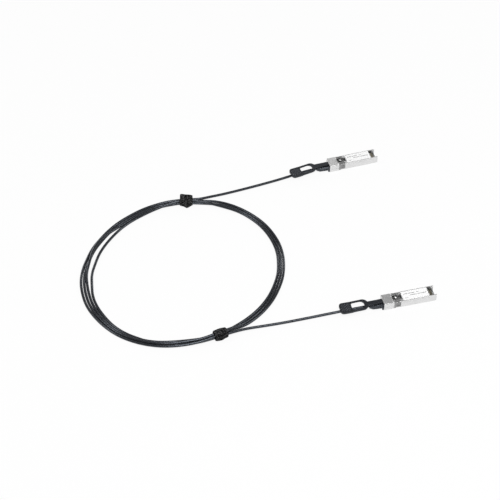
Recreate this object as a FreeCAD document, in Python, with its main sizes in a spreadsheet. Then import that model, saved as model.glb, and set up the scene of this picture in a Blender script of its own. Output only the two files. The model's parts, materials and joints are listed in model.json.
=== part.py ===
# Direct attach copper cable: two pluggable ends joined by a thin round
# twinax cable, wound in a flat coil of three and a half turns that two
# straps hold. Millimetres. +Z is up and Z = 0 is the surface it lies on.
# The origin is midway between the two ends.
#
# Each end is built in a frame of its own: X = 0 at the rear of its shell,
# +X towards the tip that goes into the port, Y across, and Z up with the
# latch side uppermost, as the ends lie.

import FreeCAD
import Part
import Sketcher

import math
import os
import re

ENDS = ("a", "b")

# Driving sizes

SIZES = {
    # cable
    "cable_diameter": 3.0,
    "cable_height": 3.7,          # cable axis above the floor, at the shell
    "cable_seat": 8.8,            # jacket reaches this far into the shell
    "seat_gap": 0.05,             # clearance between seated pieces
    # where the two ends lie, and how far each strap is swung aside
    "end_a_x": -31.0,
    "end_a_y": 104.5,
    "end_a_turn": 16.5,
    "end_a_swing": 6.0,
    "end_b_x": 17.0,
    "end_b_y": -111.0,
    "end_b_turn": 14.0,
    "end_b_swing": -1.5,
    # shell: the block outside the port, and the nose that goes inside it
    "block_length": 10.5,
    "shell_shoulder": 0.225,      # the block stands out this far each side
    "cap_rise": 0.45,             # and this far above the nose
    "nose_length": 47.5,
    "nose_width": 13.55,
    "nose_height": 8.55,
    "foot_step": 0.35,            # underside of the nose above the floor
    "shell_floor": 1.0,
    "cover_skin": 1.0,
    "side_wall": 0.9,
    "rear_wall": 2.0,
    "corner_round": 0.5,
    "bay_step": 1.0,              # the bay narrows this far behind the card
    "tip_opening": 7.6,           # length left open over the card's edge
    "tip_floor": 2.3,
    "tip_wall": 0.85,
    "tip_lead_in": 0.5,
    "bulkhead": 1.4,
    "gland_play": 0.5,            # room beside the ferrule's lip
    "card_ledge": 0.4,
    "cap_bevel": 0.4,
    "ferrule_room_inset": 0.4,    # from the gland's room, each side
    "wire_room_inset": 0.2,       # from the card's edges
    # latch: channel, boss and cap
    "channel_width": 6.3,
    "channel_floor": 7.1,
    "channel_reach": 10.1,        # open channel in front of the block
    "channel_wall": 0.8,
    "cap_seat": 8.0,
    "boss_setback": 2.5,
    "boss_length": 2.6,
    "boss_width": 2.6,
    "boss_height": 0.45,
    "boss_drop": 0.6,             # front edge of the boss below the nose's top
    "slide_thickness": 0.6,
    "slide_lift": 0.1,            # running clearance under the slide
    "strip_width": 4.8,
    "strip_lap": 0.5,             # of the strip into the pull tab
    "latch_travel": 2.8,
    "ear_length": 2.75,
    "ear_setback": 2.55,          # behind the front of the block
    "side_play": 0.1,
    "wedge_length": 2.5,
    "wedge_rise": 0.95,
    "wedge_reach": 6.5,           # in front of the block
    "arm_play": 0.15,
    "fork_setback": 1.5,          # bottom of the fork behind the boss
    "boss_ramp": 0.9,
    # return spring
    "spring_diameter": 1.8,
    "spring_wire": 0.26,
    "spring_turns": 3,
    "spring_start": 2.4,
    "spring_front_wall": 1.7,
    "spring_play": 0.2,
    # pull tab
    "neck_width": 5.0,
    "neck_length": 14.8,
    "neck_thickness": 1.7,
    "neck_gap": 0.25,
    "neck_lap": 3.0,              # of the neck over the paddle
    "tail_length": 11.0,
    "tail_width": 3.0,
    "tail_head_width": 4.0,
    "tail_head_length": 2.0,
    "paddle_length": 46.3,        # from the shell to the end of the grip
    "paddle_setback": 1.0,        # front of the paddle behind the neck's bend
    "paddle_width": 14.0,
    "paddle_front_round": 6.2,
    "paddle_rear_round": 3.6,
    "window_rim": 4.0,            # in front of the window
    "window_length": 13.8,
    "window_width": 11.2,
    "window_front_round": 4.6,
    "window_rear_round": 2.6,
    "grip_top": 7.4,
    "grip_bottom": 5.0,
    "grip_step": 0.6,
    "grip_blend": 2.0,
    "grip_rim": 1.1,
    "grip_recess": 0.25,
    # strain relief
    "flange_thickness": 1.6,
    "flange_width": 12.8,
    "flange_height": 6.1,
    "flange_bevel": 2.4,
    "boot_length": 14.5,
    "boot_rear_width": 5.6,
    "boot_front_width": 10.2,
    "boot_height": 6.0,
    "boot_lift": 0.3,
    "boot_bevel": 1.3,
    "boot_nose_length": 3.6,      # steeper stretch at the cable's end
    "boot_narrowing": 1.2,        # from the flange to that stretch
    "boot_underside_rise": 1.0,
    "boot_top_fall": 0.4,
    "boot_slot": 1.0,
    "boot_slot_pitch": 2.2,
    "boot_slot_depth": 1.1,
    "side_slot_start": 1.6,       # behind the flange
    "side_slot_low": 1.6,
    "side_slot_high": 4.3,
    "top_slot_start": 0.5,
    "top_slot_inner": 1.1,        # from the neck's side, towards the middle
    "top_slot_outer": 1.2,
    "gland_radius": 1.95,
    "collar_radius": 2.3,
    "collar_length": 1.4,
    # crimp ferrule
    "ferrule_length": 5.4,
    "ferrule_flats": 4.0,
    "ferrule_lip": 0.5,
    "ferrule_lip_radius": 2.35,
    # paddle card
    "card_margin": 2.175,         # from the card's edge to the nose's side
    "card_thickness": 1.0,
    "card_below_top": 2.25,
    "card_setback": 3.2,
    "card_length": 27.8,
    "card_bevel": 0.35,
    "pad_count": 10,
    "pad_pitch": 0.8,
    "pad_width": 0.6,
    "pad_length": 3.4,
    "pad_thickness": 0.05,
    "pad_setback": 0.4,
    "chip_length": 5.0,
    "chip_width": 4.0,
    "chip_height": 1.0,
    "chip_start": 38.0,
    # twinax pairs inside the shell
    "pair_thickness": 0.8,
    "pair_width": 1.66,
    "pair_offset": 0.5,
    "pair_lap": 4.5,              # length soldered along the card
    "pair_slope": 7.0,
    # spring-finger gasket
    "gasket_thickness": 0.18,
    "gasket_play": 0.1,
    "gasket_gap": 0.02,
    "gasket_start": 0.8,          # in front of the block
    "gasket_band": 2.0,
    "finger_length": 5.0,
    "finger_bulge": 0.28,
    "finger_rise": 0.3,           # share of its length in which it bows out
    "finger_width": 1.7,
    "finger_pitch": 2.3,
    "finger_inset": 0.4,          # of the laps' fingers from the nose's sides
    "under_fingers": 5,
    "side_fingers": 3,
    "gasket_return": 3.3,         # lap over the latch side's edges
    # label
    "label_length": 28.4,
    "label_margin": 0.675,
    "label_setback": 0.4,
    "label_play": 0.2,
    "label_thickness": 0.1,
    "label_recess": 0.15,
    # screws
    "screw_diameter": 1.4,
    "screw_head": 2.8,
    "screw_head_height": 0.7,
    "screw_margin": 1.9,          # from a screw's axis to the block's side
    "screw_station": 5.25,
    "screw_bite": 0.7,            # of the thread into the cap
    "screw_tip_gap": 0.2,
    "drive_length": 1.7,
    "drive_width": 0.4,
    "drive_depth": 0.35,
    # straps that tie the coil
    "strap_width": 14.0,
    "strap_thickness": 1.9,
    "strap_round": 2.6,
    "strap_end_bevel": 0.8,
    "waist_spare": 0.5,           # bundle showing at each end of a strap
    "coil_height": 5.6,
    "coil_x": -192.0,
    "coil_y": -57.0,
    "upper_tie_angle": 90.6,
    "upper_tie_radius": 104.3,
    "upper_bundle_width": 9.0,
    "upper_bundle_height": 5.6,
    "lower_tie_angle": 292.5,
    "lower_tie_radius": 104.3,
    "lower_bundle_width": 6.0,
    "lower_bundle_height": 6.0,
    "strap_tail": 2.2,            # how far a strap's end stands proud
}

# Sizes that follow from the driving ones

DERIVED = {
    "shell_length": "block_length + nose_length",
    "block_width": "nose_width + 2 * shell_shoulder",
    "nose_top": "foot_step + nose_height",
    "block_height": "nose_top + cap_rise",
    "card_width": "nose_width - 2 * card_margin",
    "label_width": "nose_width - 2 * label_margin",
    "card_top": "nose_top - card_below_top",
    "card_bottom": "card_top - card_thickness",
    "card_end": "shell_length - card_setback",
    "card_start": "card_end - card_length",
    "bay_floor": "foot_step + shell_floor",
    "bay_half": "nose_width / 2 - side_wall",
    "cover_end": "shell_length - tip_opening",
    "bay_end": "cover_end - bulkhead - seat_gap",
    "tip_start": "cover_end - seat_gap",
    "tip_half": "nose_width / 2 - tip_wall",
    "gland_hole": "gland_radius + seat_gap",
    "gland_half_width": "ferrule_lip_radius + gland_play",
    "screw_spread": "block_width - 2 * screw_margin",
    "channel_end": "block_length + channel_reach",
    "boss_rear": "block_length + boss_setback",
    "boss_front": "boss_rear + boss_length",
    "boss_top": "nose_top + boss_height",
    "slide_bottom": "channel_floor + slide_lift",
    "slide_top": "slide_bottom + slide_thickness",
    "slide_middle": "slide_bottom + slide_thickness / 2",
    "wedge_start": "block_length + wedge_reach",
    "wedge_end": "wedge_start + wedge_length",
    "arm_start": "block_length + latch_travel + seat_gap",
    "ear_end": "block_length - ear_setback",
    "ear_start": "ear_end - ear_length",
    "chamber_start": "ear_start - latch_travel - seat_gap",
    "chamber_end": "ear_end + seat_gap",
    "spring_end": "block_length - spring_front_wall",
    "spring_half": "spring_diameter / 2 + spring_play",
    "fork_half": "boss_width / 2 + arm_play",
    "fork_root": "boss_rear - fork_setback",
    "neck_top": "slide_middle + neck_thickness / 2",
    "neck_bottom": "slide_middle - neck_thickness / 2",
    "paddle_front": "neck_length + paddle_setback",
    "window_start": "paddle_front + window_rim",
    "window_end": "window_start + window_length",
    "ferrule_start": "rear_wall + collar_length + 4 * seat_gap",
    "ferrule_end": "ferrule_start + ferrule_length",
    "groove_start": "block_length + gasket_start",
    "groove_end": "groove_start + gasket_band + finger_length + 2 * gasket_play",
    "groove_depth": "gasket_thickness + gasket_gap",
    "band_start": "groove_start + seat_gap",
    "band_end": "band_start + gasket_band",
    "finger_end": "band_end + finger_length",
    "finger_gap": "finger_pitch - finger_width",
    "under_width": "under_fingers * finger_pitch - finger_gap",
    "side_height": "side_fingers * finger_pitch - finger_gap",
    "nose_middle": "foot_step + nose_height / 2",
    "boot_top": "boot_lift + boot_height",
    "cap_hole_end": "cap_seat + screw_bite + screw_tip_gap",
    "label_end": "cover_end - label_setback",
    "label_start": "label_end - label_length",
    "screw_hole": "screw_diameter / 2 + seat_gap",
}

# Route of each cable lead, as points on its axis

LEAD_A_ROUTE = (
    (-81.0, 86.2, 2.3),
    (-107.5, 76.4, 1.5),
    (-131.5, 67.4, 1.5),
    (-151.5, 60.0, 1.9),
    (-167.0, 54.6, 2.8),
)
LEAD_B_ROUTE = (
    (-125.5, -144.6, 2.8),
    (-109.0, -140.6, 1.9),
    (-88.0, -135.9, 1.5),
    (-62.5, -129.5, 1.5),
    (-36.5, -123.2, 2.2),
)
LEAD_STRAIGHT = 7.0               # run that leaves a strap square to it
BOOT_RUN = 26.0                   # end of the straight run behind a shell

# Outline of the coil: angle in degrees about its middle, then the inner
# and outer radius. Four strands lie on the left and three on the right.

LEFT_OUTLINE = (
    (90.6, 99.8, 108.8),
    (98.0, 99.0, 109.0),
    (110.0, 96.8, 107.8),
    (127.0, 94.4, 105.6),
    (150.0, 93.2, 105.6),
    (170.0, 94.8, 108.4),
    (190.0, 98.8, 113.4),
    (210.0, 104.0, 116.4),
    (235.0, 107.3, 117.3),
    (255.0, 104.8, 115.4),
    (272.0, 100.2, 111.2),
    (285.0, 100.6, 108.2),
    (292.5, 101.3, 107.3),
)
RIGHT_OUTLINE = (
    (292.5, 100.4, 103.9),
    (297.0, 99.4, 104.1),
    (305.0, 97.4, 106.6),
    (322.0, 96.9, 106.8),
    (342.0, 97.2, 106.9),
    (360.0, 98.7, 108.8),
    (380.0, 101.4, 111.0),
    (400.0, 103.4, 112.0),
    (418.0, 103.0, 113.0),
    (430.0, 101.3, 113.4),
    (439.0, 100.4, 108.3),
    (447.0, 99.9, 105.6),
    (450.6, 99.9, 105.2),
)

doc = FreeCAD.newDocument("direct_attach_cable")
sheet = doc.addObject("Spreadsheet::Sheet", "Sizes")
for row, (alias, number) in enumerate(SIZES.items(), start=1):
    sheet.set(f"A{row}", alias)
    sheet.set(f"B{row}", str(number))
    sheet.setAlias(f"B{row}", alias)
doc.recompute()

WORD = re.compile(r"[a-z_]+")
OVERRUN = 1.0                     # cuts run this far past a face
MERGE = 0.1                       # added forms start this far inside a body
COIL_STEP = 5.0                   # degrees between corners of the coil's solid
SAME = 1e-4                       # differences smaller than this count as none
pieces = {}


def formula(text):
    """Write a size in words as an expression on the sheet's cells."""
    def swap(match):
        word = match.group(0)
        if word in DERIVED:
            return "(" + formula(DERIVED[word]) + ")"
        return "Sizes." + word if word in SIZES else word
    return WORD.sub(swap, text)


def size(text):
    """Value of a size in words, in millimetres or degrees."""
    return float(sheet.evalExpression(formula(text)))


def new_body(name):
    body = doc.addObject("PartDesign::Body", name)
    body.Label = name
    pieces[name] = body
    return body


def new_feature(name, shape):
    feature = doc.addObject("Part::Feature", name)
    feature.Label = name
    feature.Shape = shape
    pieces[name] = feature
    return feature


def place_at_end(piece, end):
    """Put a piece that is built in an end's own frame where that end lies."""
    piece.Placement = FreeCAD.Placement(
        FreeCAD.Vector(size(f"end_{end}_x"), size(f"end_{end}_y"), 0),
        FreeCAD.Rotation(FreeCAD.Vector(0, 0, 1), size(f"end_{end}_turn")),
    )
    piece.setExpression("Placement.Base.x", f"Sizes.end_{end}_x")
    piece.setExpression("Placement.Base.y", f"Sizes.end_{end}_y")
    piece.setExpression("Placement.Rotation.Angle", f"Sizes.end_{end}_turn")


def attach(sketch, body, plane, height, turn=None, pivot=None):
    """Lay a sketch on one of its body's own planes, raised by a height."""
    support = next(f for f in body.Origin.OriginFeatures if f.Role == plane)
    sketch.AttachmentSupport = (support, [""])
    sketch.MapMode = "FlatFace"
    sketch.AttachmentOffset = FreeCAD.Placement(
        FreeCAD.Vector(size(pivot) if pivot else 0, 0, size(height)),
        FreeCAD.Rotation(FreeCAD.Vector(0, 0, 1), size(turn) if turn else 0),
    )
    sketch.setExpression("AttachmentOffset.Base.z", formula(height))
    if pivot:
        sketch.setExpression("AttachmentOffset.Base.x", formula(pivot))
        sketch.setExpression("AttachmentOffset.Rotation.Angle", formula(turn))


def bind(sketch, kind, line, text):
    """Hold the start of a line at a distance from the sketch's origin."""
    constraint = Sketcher.Constraint(kind, -1, 1, line, 1, size(text))
    index = sketch.addConstraint(constraint)
    sketch.setExpression(f"Constraints[{index}]", formula(text))


def polygons(body, plane, name, loops, height="0", turn=None, pivot=None):
    """Sketch closed outlines whose corners are pairs of sizes in words."""
    sketch = body.newObject("Sketcher::SketchObject", name)
    attach(sketch, body, plane, height, turn, pivot)
    for corners in loops:
        spots = [FreeCAD.Vector(size(x), size(y), 0) for x, y in corners]
        count = len(spots)
        lines = [
            sketch.addGeometry(Part.LineSegment(spots[i], spots[(i + 1) % count]))
            for i in range(count)
        ]
        for i in range(count):
            joint = Sketcher.Constraint("Coincident", lines[i], 2, lines[(i + 1) % count], 1)
            sketch.addConstraint(joint)
        for line, (x, y) in zip(lines, corners):
            bind(sketch, "DistanceX", line, x)
            bind(sketch, "DistanceY", line, y)
    return sketch


def circles(body, plane, name, spots, radius, height="0"):
    """Sketch equal circles about centres given in words."""
    sketch = body.newObject("Sketcher::SketchObject", name)
    attach(sketch, body, plane, height)
    normal = FreeCAD.Vector(0, 0, 1)
    for x, y in spots:
        middle = FreeCAD.Vector(size(x), size(y), 0)
        ring = sketch.addGeometry(Part.Circle(middle, normal, size(radius)))
        for kind, text in (("DistanceX", x), ("DistanceY", y)):
            constraint = Sketcher.Constraint(kind, -1, 1, ring, 3, size(text))
            index = sketch.addConstraint(constraint)
            sketch.setExpression(f"Constraints[{index}]", formula(text))
        index = sketch.addConstraint(Sketcher.Constraint("Radius", ring, size(radius)))
        sketch.setExpression(f"Constraints[{index}]", formula(radius))
    return sketch


def oblong(x_from, x_to, width):
    """Corners of a rectangle that is centred on the X axis."""
    low, high = f"-({width}) / 2", f"({width}) / 2"
    return ((x_from, low), (x_to, low), (x_to, high), (x_from, high))


def box(x_from, x_to, y_from, y_to):
    return ((x_from, y_from), (x_to, y_from), (x_to, y_to), (x_from, y_to))


def pad(body, sketch, length, back=False, both_ways=False):
    feature = body.newObject("PartDesign::Pad", sketch.Name + "_pad")
    feature.Profile = sketch
    feature.Length = size(length)
    feature.setExpression("Length", formula(length))
    feature.Reversed = back
    feature.SideType = "Symmetric" if both_ways else "One side"
    sketch.Visibility = False
    return feature


def cut(body, sketch, depth=None, forward=True, both_ways=False):
    """Pocket along the sketch's normal, right through when no depth is given."""
    feature = body.newObject("PartDesign::Pocket", sketch.Name + "_cut")
    feature.Profile = sketch
    feature.Reversed = forward
    feature.SideType = "Symmetric" if both_ways else "One side"
    if depth:
        feature.Length = size(depth)
        feature.setExpression("Length", formula(depth))
    else:
        feature.Type = "ThroughAll"
    sketch.Visibility = False
    return feature


def soften(body, kind, radius, test):
    """Fillet or chamfer the edges of the body that pass a test."""
    doc.recompute()
    base = body.Tip
    names = [f"Edge{i}" for i, edge in enumerate(base.Shape.Edges, start=1) if test(edge)]
    feature = body.newObject("PartDesign::" + kind, f"{body.Name}_{kind.lower()}")
    feature.Base = (base, names)
    amount = "Radius" if kind == "Fillet" else "Size"
    setattr(feature, amount, size(radius))
    feature.setExpression(amount, formula(radius))
    return feature


def near(number, text):
    return abs(number - size(text)) < SAME


def along(edge, axis):
    """True for a straight edge that runs along an axis."""
    if not isinstance(edge.Curve, Part.Line):
        return False
    ends = [vertex.Point for vertex in edge.Vertexes]
    return abs(abs((ends[1] - ends[0]).normalize().dot(axis)) - 1) < SAME


X_AXIS = FreeCAD.Vector(1, 0, 0)
Y_AXIS = FreeCAD.Vector(0, 1, 0)
Z_AXIS = FreeCAD.Vector(0, 0, 1)


def screw_spots():
    return (
        ("screw_station", "screw_spread / 2"),
        ("screw_station", "-screw_spread / 2"),
    )


# Shell

def housing_base(end):
    """Die-cast tray: floor, sides, the card's ledges and half the gland."""
    body = new_body(f"housing_base_{end}")
    block = polygons(body, "XY_Plane", f"base_block_{end}", [oblong("0", "block_length", "block_width")])
    pad(body, block, "cable_height")
    nose = polygons(
        body, "XY_Plane", f"base_nose_{end}",
        [oblong("block_length", "shell_length", "nose_width")], "foot_step",
    )
    pad(body, nose, "card_top - foot_step")
    cheeks = polygons(
        body, "XY_Plane", f"base_tip_{end}",
        [oblong("cover_end", "shell_length", "nose_width")], "card_top",
    )
    pad(body, cheeks, "nose_top - card_top")
    soften(
        body, "Fillet", "corner_round",
        lambda e: along(e, X_AXIS) and near(e.BoundBox.ZMin, "0"),
    )
    soften(
        body, "Chamfer", "tip_lead_in",
        lambda e: along(e, Z_AXIS) and near(e.BoundBox.XMin, "shell_length"),
    )
    half = "gland_half_width"
    bay = (
        ("rear_wall", f"-{half}"),
        ("block_length", f"-{half}"),
        ("block_length", "-bay_half"),
        ("card_start - bay_step", "-bay_half"),
        ("card_start - bay_step", "-card_width / 2 + card_ledge"),
        ("bay_end", "-card_width / 2 + card_ledge"),
        ("bay_end", "card_width / 2 - card_ledge"),
        ("card_start - bay_step", "card_width / 2 - card_ledge"),
        ("card_start - bay_step", "bay_half"),
        ("block_length", "bay_half"),
        ("block_length", half),
        ("rear_wall", half),
    )
    cut(body, polygons(body, "XY_Plane", f"base_bay_{end}", [bay], "bay_floor"))
    seat = oblong("card_start - seat_gap", "cover_end", "card_width + 2 * seat_gap")
    cut(body, polygons(body, "XY_Plane", f"base_card_seat_{end}", [seat], "card_bottom"))
    tip = oblong("tip_start", f"shell_length + {OVERRUN}", "2 * tip_half")
    cut(body, polygons(body, "XY_Plane", f"base_tip_bay_{end}", [tip], "tip_floor"))
    gland = circles(body, "YZ_Plane", f"base_gland_{end}", [("0", "cable_height")], "gland_hole")
    cut(body, gland, "rear_wall")
    cut(body, circles(body, "XY_Plane", f"base_screws_{end}", screw_spots(), "screw_hole"))
    heads = circles(
        body, "XY_Plane", f"base_screw_heads_{end}", screw_spots(), "screw_head / 2 + seat_gap"
    )
    cut(body, heads, "screw_head_height + 2 * seat_gap")
    gasket_groove(body, f"base_{end}", "0")
    under = polygons(
        body, "XY_Plane", f"base_gasket_floor_{end}",
        [oblong("groove_start", "groove_end", "nose_width")],
    )
    cut(body, under, "foot_step + groove_depth")
    place_at_end(body, end)


def gasket_groove(body, name, height):
    """Shallow seat in the nose's sides for the spring-finger gasket."""
    inner, outer = "nose_width / 2 - groove_depth", f"nose_width / 2 + {OVERRUN}"
    sides = [
        box("groove_start", "groove_end", inner, outer),
        box("groove_start", "groove_end", f"-({outer})", f"-({inner})"),
    ]
    cut(body, polygons(body, "XY_Plane", name + "_gasket_sides", sides, height))


def housing_cover(end):
    """Die-cast cover: latch channel and boss, label seat, half the gland."""
    body = new_body(f"housing_cover_{end}")
    block = polygons(
        body, "XY_Plane", f"cover_block_{end}",
        [oblong("0", "block_length", "block_width")], "cable_height",
    )
    pad(body, block, "cap_seat - cable_height")
    nose = polygons(
        body, "XY_Plane", f"cover_nose_{end}",
        [oblong("block_length", "cover_end", "nose_width")], "card_top",
    )
    pad(body, nose, "nose_top - card_top")
    play = "2 * side_play"
    channel = (
        ("0", f"-(strip_width / 2 + {play})"),
        ("chamber_start", f"-(strip_width / 2 + {play})"),
        ("chamber_start", "-channel_width / 2"),
        ("chamber_end", "-channel_width / 2"),
        ("chamber_end", f"-(strip_width / 2 + {play})"),
        ("block_length", f"-(strip_width / 2 + {play})"),
        ("block_length", "-channel_width / 2"),
        ("channel_end", "-channel_width / 2"),
        ("channel_end", "channel_width / 2"),
        ("block_length", "channel_width / 2"),
        ("block_length", f"strip_width / 2 + {play}"),
        ("chamber_end", f"strip_width / 2 + {play}"),
        ("chamber_end", "channel_width / 2"),
        ("chamber_start", "channel_width / 2"),
        ("chamber_start", f"strip_width / 2 + {play}"),
        ("0", f"strip_width / 2 + {play}"),
    )
    cut(body, polygons(body, "XY_Plane", f"cover_channel_{end}", [channel], "channel_floor"))
    boss = (
        ("boss_rear", f"channel_floor - {MERGE}"),
        ("boss_front", f"channel_floor - {MERGE}"),
        ("boss_front", "nose_top - boss_drop"),
        ("boss_rear + boss_ramp", "boss_top"),
        ("boss_rear", "boss_top"),
    )
    pad(body, polygons(body, "XZ_Plane", f"cover_boss_{end}", [boss]), "boss_width", both_ways=True)
    pocket = oblong("spring_start", "spring_end + seat_gap", "2 * spring_half")
    level = "slide_middle - spring_half"
    cut(body, polygons(body, "XY_Plane", f"cover_spring_seat_{end}", [pocket], level))
    room = oblong("rear_wall", "block_length", "2 * (gland_half_width - ferrule_room_inset)")
    ferrule_room = polygons(body, "XY_Plane", f"cover_ferrule_room_{end}", [room], "cable_height")
    cut(body, ferrule_room, "ferrule_lip_radius + seat_gap")
    gland = circles(body, "YZ_Plane", f"cover_gland_{end}", [("0", "cable_height")], "gland_hole")
    cut(body, gland, "rear_wall")
    wires = oblong("channel_end + channel_wall", "bay_end", "card_width - 2 * wire_room_inset")
    wire_room = polygons(body, "XY_Plane", f"cover_wire_room_{end}", [wires], "card_top")
    cut(body, wire_room, "nose_top - card_top - cover_skin")
    seat = oblong("label_start - label_play", "label_end + label_play", "label_width + label_play")
    label_seat = polygons(
        body, "XY_Plane", f"cover_label_seat_{end}", [seat], "nose_top - label_recess"
    )
    cut(body, label_seat)
    cut(body, circles(body, "XY_Plane", f"cover_screws_{end}", screw_spots(), "screw_hole"))
    gasket_groove(body, f"cover_{end}", f"card_top - {OVERRUN}")
    inner, outer = "nose_width / 2 - gasket_return - gasket_play", f"nose_width / 2 + {OVERRUN}"
    laps = [
        box("groove_start", "groove_end", inner, outer),
        box("groove_start", "groove_end", f"-({outer})", f"-({inner})"),
    ]
    level = "nose_top - groove_depth"
    cut(body, polygons(body, "XY_Plane", f"cover_gasket_laps_{end}", laps, level))
    place_at_end(body, end)


def latch_cap(end):
    """Cap over the slide and its spring: the top of the block."""
    body = new_body(f"latch_cap_{end}")
    block = polygons(
        body, "XY_Plane", f"cap_block_{end}",
        [oblong("0", "block_length", "block_width")], "cap_seat",
    )
    pad(body, block, "block_height - cap_seat")
    soften(body, "Chamfer", "cap_bevel", lambda e: near(e.BoundBox.ZMin, "block_height"))
    pocket = oblong("spring_start", "spring_end + seat_gap", "2 * spring_half")
    seat = polygons(body, "XY_Plane", f"cap_spring_seat_{end}", [pocket])
    cut(body, seat, "slide_middle + spring_half")
    holes = circles(body, "XY_Plane", f"cap_screws_{end}", screw_spots(), "screw_hole")
    cut(body, holes, "cap_hole_end")
    place_at_end(body, end)


# Latch

def latch_slide(end):
    """Stamped slide: tail, stop ears, spring window and two wedge arms."""
    body = new_body(f"latch_slide_{end}")
    head, tail = "tail_head_width / 2", "tail_width / 2"
    strip, ear = "strip_width / 2", "channel_width / 2 - side_play"
    half_outline = (
        ("-tail_length", head),
        ("-tail_length + tail_head_length", head),
        ("-tail_length + tail_head_length", tail),
        ("-neck_gap - strip_lap", tail),
        ("-neck_gap - strip_lap", strip),
        ("ear_start", strip),
        ("ear_start", ear),
        ("ear_end", ear),
        ("ear_end", strip),
        ("arm_start", strip),
        ("arm_start", ear),
        ("wedge_end", ear),
    )
    mirrored = tuple((x, f"-({y})") for x, y in reversed(half_outline))
    outline = polygons(
        body, "XY_Plane", f"slide_outline_{end}", [half_outline + mirrored], "slide_bottom"
    )
    pad(body, outline, "slide_thickness")
    wedge = (
        ("wedge_start", f"slide_top - {MERGE}"),
        ("wedge_end", f"slide_top - {MERGE}"),
        ("wedge_end", "slide_top + wedge_rise"),
        ("wedge_start + wedge_rise", "slide_top + wedge_rise"),
        ("wedge_start", "slide_top"),
    )
    ramp = polygons(body, "XZ_Plane", f"slide_wedge_{end}", [wedge])
    pad(body, ramp, "channel_width - 2 * side_play", both_ways=True)
    fork = oblong("fork_root", f"wedge_end + {OVERRUN}", "2 * fork_half")
    cut(body, polygons(body, "XY_Plane", f"slide_fork_{end}", [fork]))
    window = oblong("spring_start - spring_play", "spring_end", "2 * spring_half")
    cut(body, polygons(body, "XY_Plane", f"slide_window_{end}", [window]))
    place_at_end(body, end)


def return_spring(end):
    """Coil spring along X, between the cover's pocket and the slide."""
    wire = size("spring_wire")
    radius = size("spring_diameter") / 2 - wire / 2
    length = size("spring_end - spring_start") - wire
    turns = size("spring_turns")
    helix = Part.makeHelix(length / turns, length, radius)
    start = FreeCAD.Vector(radius, 0, 0)
    half = wire / 2
    corners = [
        start + FreeCAD.Vector(-half, 0, -half),
        start + FreeCAD.Vector(half, 0, -half),
        start + FreeCAD.Vector(half, 0, half),
        start + FreeCAD.Vector(-half, 0, half),
    ]
    profile = Part.makePolygon(corners + corners[:1])
    coil = Part.Wire(helix.Edges).makePipeShell([profile], True, True)
    rear = FreeCAD.Vector(size("spring_start") + half, 0, size("slide_middle"))
    seat = FreeCAD.Placement(rear, FreeCAD.Rotation(Y_AXIS, 90))
    coil = coil.transformed(seat.Matrix, True)
    place_at_end(new_feature(f"return_spring_{end}", coil), end)


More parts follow.
